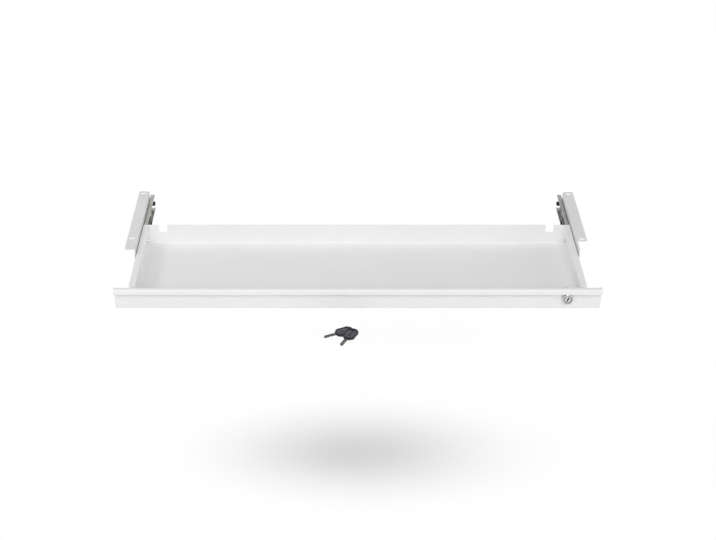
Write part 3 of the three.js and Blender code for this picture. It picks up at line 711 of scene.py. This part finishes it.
def seam(corner, inward, axis, low, high):
    """The soft inner corner where two sheets are welded and coated over."""
    radius, under = SEAM_RADIUS, TRAY_SHEET / 2
    outline = [(-under, -under), (radius, -under)]
    outline += arc((radius, radius), radius, -RIGHT_ANGLE, -RIGHT_ANGLE)
    outline.append((-under, radius))
    placed = [(corner[0] + inward[0] * a, corner[1] + inward[1] * b) for a, b in outline]
    return prism(placed, axis, low, high)


def tray():
    """The five sheets, drawn as one coated weldment."""
    rim = rim_top - TRAY_SHEET / 2
    floor_top = floor_bottom + TRAY_SHEET
    back_inner = tray_back - TRAY_SHEET
    front_inner = tray_front + TRAY_SHEET
    front_rim = rim_top - FRONT_WALL_DROP
    wall = wall_inner + TRAY_SHEET / 2
    parts = [
        block((-wall, tray_front, floor_bottom), (wall, tray_back, floor_top)),
        block((-wall, tray_front, floor_bottom), (wall, front_inner, front_rim)),
        block((-wall, back_inner, floor_bottom), (wall, tray_back, rim_top)),
        seam((front_inner, floor_top), (1, 1), "X", -wall, wall),
        seam((back_inner, floor_top), (-1, 1), "X", -wall, wall),
    ]
    tools = []
    for prefix, side in (("left", -1), ("right", 1)):
        flange = folded(
            [(side * wall, floor_bottom), (side * wall, rim), (side * rim_edge, rim)],
            TRAY_SHEET,
            TRAY_BEND,
        )
        parts.append(prism(flange, "Y", tray_front, tray_back))
        inner = side * wall_inner
        parts.append(seam((inner, floor_top), (-side, 1), "Y", tray_front, tray_back))
        bend = TRAY_SHEET + TRAY_BEND
        parts.append(seam((inner, front_inner), (-side, 1), "Z", floor_bottom, front_rim - bend))
        parts.append(seam((inner, back_inner), (-side, -1), "Z", floor_bottom, rim_top - bend))
        middle = side * (wall_inner - NOTCH_INSET - NOTCH_SIZE / 2)
        half = NOTCH_SIZE / 2
        outline = rounded(
            rectangle(middle - half, rim_top - NOTCH_SIZE, middle + half, rim_top + OVERRUN),
            [NOTCH_CORNER] * 4,
        )
        tools.append(prism(outline, "Y", back_inner - OVERRUN, tray_back + OVERRUN))
        edges = sorted((side * (wall_inner - OVERRUN), side * (wall_outer + OVERRUN)))
        tools += screw_holes(prefix, "drawer", *edges)
    return cut(joined(*parts), *tools, barrel_hole(tray_front))


def front_panel():
    bottom = panel_low.z + PANEL_SHEET / 2
    face = panel_face + PANEL_SHEET / 2
    top = rim_top - PANEL_SHEET / 2
    lip = panel_low.y + PANEL_SHEET / 2
    outline = folded(
        [
            (panel_face + PANEL_RETURN, bottom),
            (face, bottom),
            (face, top),
            (lip, top),
            (lip, rim_top - LIP_DROP),
        ],
        PANEL_SHEET,
        (PANEL_BEND, LIP_BEND, LIP_BEND),
    )
    body = prism(outline, "X", -panel_half, panel_half)
    returns = []
    for side in (-1, 1):
        edges = sorted((side * panel_half, side * (panel_half - PANEL_SHEET)))
        low = (edges[0], face, bottom)
        high = (edges[1], panel_face + PANEL_SIDE_RETURN, rim_top - LIP_BEND - PANEL_SHEET)
        returns.append(block(low, high))
    return cut(joined(body, *returns), barrel_hole(panel_face))


# Slide pieces, drawn by the distance from the bracket and the height over the slide's middle


def section(points):
    return [(slide_back - u, slide_mid + v) for u, v in points]


def channel(half, low, high):
    """A symmetric folded channel, given by its upper half."""
    lower = [(u, -v) for u, v in reversed(half)]
    return prism(folded(section(half + lower), SLIDE_SHEET, SLIDE_BEND), "Y", low, high)


def web_slots(sizes, shares, web, low, high, across=False):
    """Cutters for the slots through a member's web, long in Y or, where they lie across, in Z."""
    tools = []
    for share in shares:
        y = (low + high) / 2 + share * (high - low)
        outline = [(v, u) if across else (u, v) for u, v in slot_outline(*sizes)]
        edges = sorted((slide_back - web - SLIDE_SHEET, slide_back - web + SLIDE_SHEET))
        tools.append(moved(prism(outline, "X", *edges), (0, y, slide_mid)))
    return tools


def outer_member(prefix):
    half = [
        (OUTER_LIP_REACH, outer_line - HOOK_DIP),
        (OUTER_LIP_REACH - HOOK_LENGTH, outer_line),
        (SLIDE_SHEET / 2, outer_line),
    ]
    body = channel(half, outer_low.y, outer_high.y)
    edges = (slide_back - 2 * SLIDE_SHEET, slide_back + OVERRUN)
    ends = (outer_low.y, outer_high.y)
    slots = web_slots(WEB_SLOT, OUTER_SLOT_SHARES, SLIDE_SHEET / 2, *ends)
    return cut(body, *screw_holes(prefix, "bracket", *edges), *slots)


def middle_member():
    half = [
        (MIDDLE_LIP_REACH, middle_line - HOOK_DIP),
        (MIDDLE_LIP_REACH - HOOK_LENGTH, middle_line - HOOK_DIP),
        (MIDDLE_LIP_REACH - 2 * HOOK_LENGTH, middle_line),
        (middle_web, middle_line),
    ]
    ends = (middle_low.y, middle_high.y)
    return cut(channel(half, *ends), *web_slots(WEB_SLOT, MIDDLE_SLOT_SHARES, middle_web, *ends))


def inner_member(prefix):
    half = [(slide_back - slide_face - INNER_LIP_REACH, inner_line), (inner_web, inner_line)]
    body = channel(half, inner_low.y, inner_high.y)
    edges = (slide_face - OVERRUN, slide_face + 2 * SLIDE_SHEET)
    ends = (inner_low.y, inner_high.y)
    slots = web_slots(CROSS_SLOT, INNER_SLOT_SHARES, inner_web, *ends, across=True)
    return cut(body, *screw_holes(prefix, "drawer", *edges), *slots)


def section_block(corner, opposite, low, high):
    (u0, v0), (u1, v1) = corner, opposite
    return block((slide_back - u1, low, slide_mid + v0), (slide_back - u0, high, slide_mid + v1))


def ball_cage(node, web, row):
    low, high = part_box(node)
    leg_end = ball_line + CAGE_LEG_MARGIN
    top = row + CAGE_LEG_SHEET / 2
    parts = [section_block((web, -top), (web + CAGE_SHEET, top), low.y, high.y)]
    for leg in (top - CAGE_LEG_SHEET, -top):
        parts.append(section_block((web, leg), (leg_end, leg + CAGE_LEG_SHEET), low.y, high.y))
    return joined(*parts)


def balls(node, row):
    low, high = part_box(node)
    middle = (low.y + high.y) / 2
    bm = bmesh.new()
    for v in (-row, row):
        for i in range(BALL_COUNT):
            y = middle + (i - (BALL_COUNT - 1) / 2) * BALL_PITCH
            place = Matrix.Translation((slide_back - ball_line, y, slide_mid + v))
            bmesh.ops.create_icosphere(
                bm, subdivisions=BALL_DETAIL, radius=BALL_RADIUS, matrix=place
            )
    return object_of(bm)


def end_guide(node):
    low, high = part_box(node)
    bridge_front = high.y - GUIDE_BRIDGE
    face_inner = MIDDLE_LIP_REACH + SEAT_GAP
    face_outer = face_inner + GUIDE_WALL - SEAT_GAP
    cover_low = middle_line + SLIDE_SHEET / 2 + SEAT_GAP
    cover_high = cover_low + GUIDE_WALL
    cover_start = OUTER_LIP_REACH + SEAT_GAP
    liner_low = inner_line + SLIDE_SHEET / 2 + SEAT_GAP
    liner_high = liner_low + GUIDE_LINER
    liner_start = middle_web + SLIDE_SHEET / 2 + SEAT_GAP
    ends = ((liner_start, -liner_high), (face_outer, liner_high))
    parts = [section_block(*ends, bridge_front, high.y)]
    for side in (-1, 1):
        for start, v0, v1 in (
            (liner_start, liner_low, liner_high),
            (face_inner, liner_low, cover_high),
            (cover_start, cover_low, cover_high),
        ):
            heights = sorted((side * v0, side * v1))
            ends = ((start, heights[0]), (face_outer, heights[1]))
            parts.append(section_block(*ends, low.y, high.y))
    return joined(*parts)


# Screws


def cross_recess(axis, top):
    wide, thin = RECESS_SPAN / 2, RECESS_WIDTH / 2
    ends = (top - RECESS_DEPTH, top + OVERRUN)
    arms = [prism(rectangle(-a, -b, a, b), axis, *ends) for a, b in ((wide, thin), (thin, wide))]
    return joined(*arms)


def pan_head(shank):
    """A pan-head screw along X with a cross recess: its seat lies at the origin."""
    soft = SCREW_HEAD_HEIGHT / 2
    profile = [(0, -shank), (SCREW_RADIUS - SCREW_TIP, -shank), (SCREW_RADIUS, SCREW_TIP - shank)]
    profile += [(SCREW_RADIUS, 0), (SCREW_HEAD_RADIUS, 0)]
    profile += arc((SCREW_HEAD_RADIUS - soft, SCREW_HEAD_HEIGHT - soft), soft, 0, RIGHT_ANGLE)
    profile.append((0, SCREW_HEAD_HEIGHT))
    body = revolved(profile, "X", SMALL_ROUND_STEPS)
    return cut(body, cross_recess("X", SCREW_HEAD_HEIGHT))


def placed_screw(node, screw, seat, facing):
    low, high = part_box(node)
    turn = Matrix.Rotation(0 if facing > 0 else math.pi, 4, "Z")
    copy = bpy.data.objects.new(node, screw.data.copy())
    bpy.context.scene.collection.objects.link(copy)
    return moved(copy, (seat, (low.y + high.y) / 2, slide_mid), turn)


# Lock pieces, drawn about the lock's axis with the panel's face at Y zero

bezel_front = -SEAT_GAP - FACE_PROUD
plug_hole = PLUG_RADIUS + RUN_GAP
cam_front = BARREL_LENGTH + SEAT_GAP
cam_back = cam_front + CAM_THICKNESS


def lock_barrel():
    """The bezel with its rounded crown and inner groove, and the threaded barrel behind it."""
    rim, root = plug_hole + GROOVE_WIDTH, BARREL_RADIUS - THREAD_DEPTH
    profile = [
        (plug_hole, bezel_front + GROOVE_DEPTH),
        (rim, bezel_front + GROOVE_DEPTH),
        (rim + GROOVE_CHAMFER, bezel_front + GROOVE_CHAMFER),
        (rim + 2 * GROOVE_CHAMFER, bezel_front),
    ]
    crown = (FACE_RADIUS - FACE_ROUND, bezel_front + FACE_ROUND)
    profile += arc(crown, FACE_ROUND, -RIGHT_ANGLE, RIGHT_ANGLE)
    profile += [(FACE_RADIUS, -SEAT_GAP), (BARREL_RADIUS, -SEAT_GAP)]
    thread_start = PANEL_SHEET + SEAT_GAP
    for i in range(int((BARREL_LENGTH - thread_start) / THREAD_PITCH)):
        crest = thread_start + i * THREAD_PITCH
        profile += [(BARREL_RADIUS, crest), (root, crest + THREAD_PITCH / 2)]
    profile += [(root, BARREL_LENGTH), (plug_hole, BARREL_LENGTH)]
    return moved(revolved(profile, "Y"), lock_place)


def in_groove_shade(place):
    """True for a place in the ring-shaped groove between the bezel and the plug, whose faces are
    painted darker as shade.
    """
    edge = plug_hole + GROOVE_WIDTH + GROOVE_SHADE_MARGIN
    return math.hypot(place.x, place.z) < edge and place.y < bezel_front + FACE_PROUD / 2


def keyway_outline():
    """The keyway in X and Z, upright: a ward on each side runs in the blade's groove."""
    half, rise = BLADE_THICKNESS / 2 + KEY_GAP, KEYWAY_HEIGHT / 2
    narrow, foot = half - BLADE_GROOVE_DEPTH, BLADE_GROOVE_WIDTH / 2
    tip = foot - KEY_GAP

    def ward(side, middle):
        steps = [(half, -foot), (narrow, -tip), (narrow, tip), (half, foot)]
        return [(side * across, middle + up) for across, up in steps]

    right = [(half, -rise), *ward(1, BLADE_GROOVE_PLACES[0]), (half, rise)]
    left = [(-half, -rise), *ward(-1, BLADE_GROOVE_PLACES[1]), (-half, rise)]
    return right + left[::-1]


def lock_plug():
    front = bezel_front + PLUG_RECESS
    profile = [(0, front), (PLUG_RADIUS - PLUG_CHAMFER, front)]
    profile += [(PLUG_RADIUS, front + PLUG_CHAMFER), (PLUG_RADIUS, BARREL_LENGTH)]
    profile.append((0, BARREL_LENGTH))
    half = CAM_SQUARE / 2
    square = block((-half, BARREL_LENGTH - OVERRUN, -half), (half, cam_back - RUN_GAP, half))
    keyway = prism(keyway_outline(), "Y", bezel_front - OVERRUN, bezel_front + KEYWAY_DEPTH)
    moved(keyway, turn=Matrix.Rotation(KEYWAY_TILT, 4, "Y"))
    bore_front = cam_back - CAM_SCREW_DEPTH - SEAT_GAP
    bore = prism(circle(CAM_SCREW_RADIUS + RUN_GAP), "Y", bore_front, cam_back + OVERRUN)
    body = cut(joined(revolved(profile, "Y"), square), keyway, bore)
    return moved(body, lock_place)


def lock_nut():
    seat = PANEL_SHEET + SEAT_GAP + TRAY_SHEET + SEAT_GAP
    top = seat + NUT_HEIGHT
    flat, corner = NUT_ACROSS_FLATS / 2, NUT_ACROSS_FLATS / math.sqrt(3)
    drop = (corner - flat) / 2
    profile = [(0, seat), (flat, seat), (corner, seat + drop)]
    profile += [(corner, top - drop), (flat, top), (0, top)]
    hexagon = prism(circle(corner, 6), "Y", seat, top)
    body = combined(hexagon, "INTERSECT", [revolved(profile, "Y")])
    bore = prism(circle(BARREL_RADIUS + RUN_GAP), "Y", seat - OVERRUN, top + OVERRUN)
    return moved(cut(body, bore), lock_place)


def lock_cam():
    soft, tip = CAM_TIP_ROUND, CAM_TIP_WIDTH / 2
    outline = arc((0, 0), CAM_WIDTH / 2, RIGHT_ANGLE, -math.pi, SMALL_ROUND_STEPS)
    outline += arc((soft - CAM_REACH, soft - tip), soft, -RIGHT_ANGLE, -RIGHT_ANGLE)
    outline += arc((soft - CAM_REACH, tip - soft), soft, math.pi, -RIGHT_ANGLE)
    body = prism(outline, "Y", cam_front, cam_back)
    half = CAM_SQUARE / 2 + RUN_GAP
    hole = block((-half, cam_front - OVERRUN, -half), (half, cam_back + OVERRUN, half))
    return moved(cut(body, hole), lock_place)


def cam_screw():
    seat = cam_back + RUN_GAP
    top = seat + CAM_SCREW_HEAD_HEIGHT
    chamfer = CAM_SCREW_HEAD_HEIGHT / 2
    profile = [(0, seat - CAM_SCREW_DEPTH), (CAM_SCREW_RADIUS, seat - CAM_SCREW_DEPTH)]
    profile += [(CAM_SCREW_RADIUS, seat), (CAM_SCREW_HEAD_RADIUS, seat)]
    profile += [(CAM_SCREW_HEAD_RADIUS, top - chamfer), (CAM_SCREW_HEAD_RADIUS - chamfer, top)]
    profile.append((0, top))
    body = revolved(profile, "Y", SMALL_ROUND_STEPS)
    return moved(cut(body, cross_recess("Y", top)), lock_place)


# Keys: a key lies flat with its blade along X from the head


def key_blade():
    top = BLADE_HEIGHT / 2
    outline = [(-BLADE_TAIL, -top), (BLADE_LENGTH - BLADE_TIP, -top), (BLADE_LENGTH, 0)]
    outline.append((BLADE_LENGTH - BLADE_TIP, top))
    for i, depth in enumerate(BITE_DEPTHS):
        middle = BLADE_LENGTH - BITE_START - i * BITE_PITCH
        flat = BITE_FLAT / 2
        outline += [(middle + flat + depth / 2, top), (middle + flat, top - depth)]
        outline += [(middle - flat, top - depth), (middle - flat - depth / 2, top)]
    outline.append((-BLADE_TAIL, top))
    half = BLADE_THICKNESS / 2
    body = prism(outline, "Z", -half, half)
    grooves = []
    for side, across in zip((1, -1), BLADE_GROOVE_PLACES):
        heights = sorted((side * (half - BLADE_GROOVE_DEPTH), side * (half + OVERRUN)))
        low = (-KEY_POCKET, across - BLADE_GROOVE_WIDTH / 2, heights[0])
        high = (BLADE_LENGTH + OVERRUN, across + BLADE_GROOVE_WIDTH / 2, heights[1])
        grooves.append(block(low, high))
    return cut(body, *grooves)


def head_outline(inset):
    half, neck, near = HEAD_WIDTH / 2 - inset, HEAD_NECK / 2 - inset, -inset
    far = inset - HEAD_LENGTH
    corners = [
        (near, neck),
        (-HEAD_FLARE, half),
        (far + HEAD_CORNER, half),
        (far, half - HEAD_CORNER),
        (far, -half + HEAD_CORNER),
        (far + HEAD_CORNER, -half),
        (-HEAD_FLARE, -half),
        (near, -neck),
    ]
    return rounded(corners, (HEAD_NECK_ROUND, *(HEAD_ROUND,) * 6, HEAD_NECK_ROUND))


def key_head(rise):
    """The moulded head: a rim round a sunk panel with grip ridges, on both faces."""
    body = prism(head_outline(0), "Z", -rise, rise)
    tools = []
    for side in (-1, 1):
        floor = side * (rise - HEAD_PANEL_DEPTH)
        heights = sorted((floor, side * (rise + OVERRUN)))
        sunk = prism(head_outline(HEAD_RIM), "Z", *heights)
        through = (heights[0] - OVERRUN, heights[1] + OVERRUN)
        ridges = []
        for i in range(HEAD_RIDGE_COUNT):
            x = HEAD_RIDGE_MIDDLE + (i - (HEAD_RIDGE_COUNT - 1) / 2) * HEAD_RIDGE_PITCH
            ridge = slot_outline(HEAD_RIDGE_LENGTH, HEAD_RIDGE_WIDTH)
            stood = [(x + b, a) for a, b in ridge]
            ridges.append(prism(stood[::-1], "Z", *through))
        boss = prism(circle(HEAD_HOLE_RADIUS + HEAD_BOSS_WALL), "Z", *through)
        tools.append(cut(sunk, moved(boss, HEAD_HOLE_PLACE), *ridges))
    hole = prism(circle(HEAD_HOLE_RADIUS), "Z", -rise - OVERRUN, rise + OVERRUN)
    tools.append(moved(hole, HEAD_HOLE_PLACE))
    half, thick = BLADE_HEIGHT / 2 + KEY_POCKET, BLADE_THICKNESS / 2 + KEY_POCKET
    tools.append(block((-BLADE_TAIL - KEY_POCKET, -half, -thick), (OVERRUN, half, thick)))
    return cut(body, *tools)


def on_panel(face, back_to_flat, rise):
    """True for the sunk panel's floor and the ridges' tops."""
    place = back_to_flat @ face.center
    sunk = abs(place.z) < rise - HEAD_PANEL_DEPTH / 2
    ahead = abs(place.x - HEAD_RIDGE_MIDDLE) < HEAD_RIDGE_COUNT / 2 * HEAD_RIDGE_PITCH
    ridge = ahead and face.area < HEAD_RIDGE_LENGTH * HEAD_RIDGE_WIDTH
    return abs(face.normal.z) > LEVEL_NORMAL and (sunk or ridge)


# The pieces

for prefix, side in (("left", -1), ("right", 1)):
    piece(bracket(side, prefix), f"{prefix}_bracket_sheet", f"{prefix}_bracket", bracket_white)
    members = {
        "outer_member": outer_member(prefix),
        "middle_member": middle_member(),
        "inner_member": inner_member(prefix),
    }
    for kind, made in members.items():
        name = f"{prefix}_{kind}"
        piece(on_side(made, side), f"{name}_channel", name, zinc_plates[prefix], FINE_EDGE)
    cages = {
        "outer_ball_cage": (SLIDE_SHEET + RUN_GAP, outer_ball_row),
        "inner_ball_cage": (middle_web + SLIDE_SHEET / 2 + RUN_GAP, inner_ball_row),
    }
    for kind, (web, row) in cages.items():
        node = f"{prefix}_{kind}"
        piece(on_side(ball_cage(node, web, row), side), f"{node}_strip", node, steel, FINE_EDGE)
        made = on_side(balls(node, row), side)
        piece(made, f"{node}_balls", node, steel, None, stands_for=False)
    node = f"{prefix}_end_guide"
    piece(on_side(end_guide(node), side), f"{node}_moulding", node, black_plastic, MOULDED_EDGE)
    node = f"{prefix}_rear_stop"
    stop = block(*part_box(node))
    piece(stop, f"{node}_rubber", node, rubber, 2 * MOULDED_EDGE)
    screws = {
        "bracket": (side, BRACKET_SCREW_SHANK, steel),
        "drawer": (-side, DRAWER_SCREW_SHANK, screw_zinc),
    }
    for group, (facing, shank, plate) in screws.items():
        screw = pan_head(shank)
        for end in ("front", "rear"):
            node = f"{prefix}_{group}_screw_{end}"
            crown = max(facing * corner.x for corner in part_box(node))
            made = placed_screw(node, screw, facing * (crown - SCREW_HEAD_HEIGHT), facing)
            piece(made, f"{node}_head", node, plate, FINE_EDGE)
        bpy.data.objects.remove(screw)

walls = [f"tray_{name}_wall" for name in ("front", "back", "left", "right")]
piece(tray(), "tray_weldment", ["tray_floor", *walls], white)
piece(front_panel(), "front_panel_sheet", "front_panel", white)
barrel = piece(lock_barrel(), "lock_barrel_turned", "lock_barrel", face_nickel, None)
# The groove's faces take the darker nickel: painted shade
repaint(barrel, groove_shade_nickel, lambda face: in_groove_shade(face.center - lock_place))
piece(lock_plug(), "lock_plug_turned", "lock_plug", face_nickel, FINE_EDGE)
piece(lock_nut(), "lock_nut_cut", "lock_nut", face_nickel, FINE_EDGE)
piece(lock_cam(), "lock_cam_plate", "lock_cam", cam_plate, FINE_EDGE)
piece(cam_screw(), "cam_screw_cut", "cam_screw", steel, FINE_EDGE)

for prefix, (across, ahead, turn) in KEYS.items():
    low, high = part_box(f"{prefix}_key_head")
    place = (across, panel_face - ahead, (low.z + high.z) / 2)
    turned = Matrix.Rotation(math.radians(turn), 4, "Z")
    blade = moved(key_blade(), place, turned)
    piece(blade, f"{prefix}_key_blade_cut", f"{prefix}_key_blade", blade_nickel, FINE_EDGE)
    rise = (high.z - low.z) / 2
    head = moved(key_head(rise), place, turned)
    piece(head, f"{prefix}_key_head_moulding", f"{prefix}_key_head", key_plastic, MOULDED_EDGE)
    back_to_flat = (Matrix.Translation(place) @ turned).inverted()
    repaint(head, key_panel, lambda face: on_panel(face, back_to_flat, rise))


# Stage, lights and camera


def seen_share(nodes):
    """One where the camera, a mirror or glass looks, and zero for light that falls on things."""
    path = nodes.node("ShaderNodeLightPath")
    total = path.outputs["Is Camera Ray"]
    for name in ("Is Glossy Ray", "Is Transmission Ray"):
        total = nodes.maths("MAXIMUM", total, path.outputs[name])
    return total


def studio_world():
    """White where it is seen, and a soft light that is stronger from below."""
    world = bpy.data.worlds.new("studio")
    bpy.context.scene.world = world
    world.use_nodes = True
    nodes = Nodes(world.node_tree)
    direction = nodes.node("ShaderNodeTexCoord").outputs["Generated"]
    height = nodes.node("ShaderNodeSeparateXYZ", {0: direction}).outputs["Z"]
    level = nodes.between(height, WORLD_LOW, WORLD_HIGH, 0, 1)
    background = world.node_tree.nodes["Background"]
    background.inputs["Color"].default_value = (1, 1, 1, 1)
    nodes.put(nodes.between(seen_share(nodes), level, 1, 0, 1), background.inputs["Strength"])


def floor_finish():
    """White where it is seen, but for a soft shadow painted into its colour and glow, and a plain
    pale floor to the light.
    """
    finish = bpy.data.materials.new("floor")
    finish.use_nodes = True
    nodes = Nodes(finish.node_tree)
    nodes.tree.nodes.clear()
    reach = {"Distance": SHADOW_REACH}
    cover = nodes.node("ShaderNodeAmbientOcclusion", reach, samples=SHADOW_SAMPLES)
    covered = nodes.between(cover.outputs["AO"], 0, 1, 1, 1 - SHADOW_SHARE)
    # The shadow is painted: an ellipse under the object, deepened by how much of the sky the object
    # hides
    place = nodes.node("ShaderNodeTexCoord").outputs["Object"]
    layout = {"Vector": place, "Location": PAINTED_SHADOW_PLACE, "Scale": PAINTED_SHADOW_SIZE}
    spread = nodes.node("ShaderNodeMapping", layout, vector_type="TEXTURE").outputs[0]
    away = nodes.node("ShaderNodeVectorMath", {0: spread}, operation="LENGTH").outputs["Value"]
    fade = nodes.between(away, 1, 0, 0, 1, interpolation_type="SMOOTHSTEP")
    depth = nodes.maths("MULTIPLY", covered, nodes.maths("POWER", fade, PAINTED_SHADOW_FALL))
    # Both the floor's colour and its glow fall with the painted shadow
    tone, glow = (
        nodes.between(depth, level, level * FLOOR_COVERED, 0, 1)
        for level in (FLOOR_TONE, FLOOR_GLOW)
    )
    dull = nodes.node("ShaderNodeBsdfDiffuse", {"Color": tone}).outputs[0]
    lit = nodes.node("ShaderNodeEmission", {"Strength": glow}).outputs[0]
    seen = nodes.node("ShaderNodeAddShader", {0: dull, 1: lit}).outputs[0]
    bounce = nodes.node("ShaderNodeBsdfDiffuse", {"Color": FLOOR_BOUNCE}).outputs[0]
    choice = {0: seen_share(nodes), 1: bounce, 2: seen}
    chosen = nodes.node("ShaderNodeMixShader", choice).outputs[0]
    nodes.node("ShaderNodeOutputMaterial", {0: chosen})
    return finish


def placed_light(name, kind, turn, **settings):
    lamp = bpy.data.lights.new(name, kind)
    for setting, value in settings.items():
        setattr(lamp, setting, value)
    made = bpy.data.objects.new(name, lamp)
    made.rotation_euler = turn
    bpy.context.scene.collection.objects.link(made)
    return made


studio_world()

half_floor = FLOOR_SIZE / 2
bm = bmesh.new()
floor_corners = rectangle(-half_floor, -half_floor, half_floor, half_floor)
bm.faces.new([bm.verts.new((a, b, 0)) for a, b in floor_corners])
floor = object_of(bm, "floor")
floor.location.z = FLOOR_Z
floor.data.materials.append(floor_finish())

for name, (strength, spread, elevation, azimuth) in SUNS.items():
    turn = (math.radians(90 - elevation), 0, math.radians(azimuth))
    placed_light(name, "SUN", turn, energy=strength, angle=math.radians(spread))
turn = LAMP_PLACE.to_track_quat("Z", "Y").to_euler()
left_lamp = placed_light("left", "AREA", turn, shape="DISK", size=LAMP_SIZE, energy=LAMP_WATTS)
left_lamp.location = LAMP_PLACE
left_lamp.visible_camera = False

camera = bpy.data.cameras.new("camera")
camera.sensor_width = SENSOR_WIDTH_MM
camera.lens = FOCAL_PX / FRAME_WIDTH_PX * SENSOR_WIDTH_MM
camera.shift_x = CENTRE_SHIFT_PX / FRAME_WIDTH_PX
camera.clip_end = CLIP_END
viewer = bpy.data.objects.new("camera", camera)
viewer.location = CAMERA_PLACE
viewer.rotation_euler = (RIGHT_ANGLE - CAMERA_DOWN, 0, 0)
bpy.context.scene.collection.objects.link(viewer)
bpy.context.scene.camera = viewer
bpy.context.scene.view_settings.view_transform = "Standard"
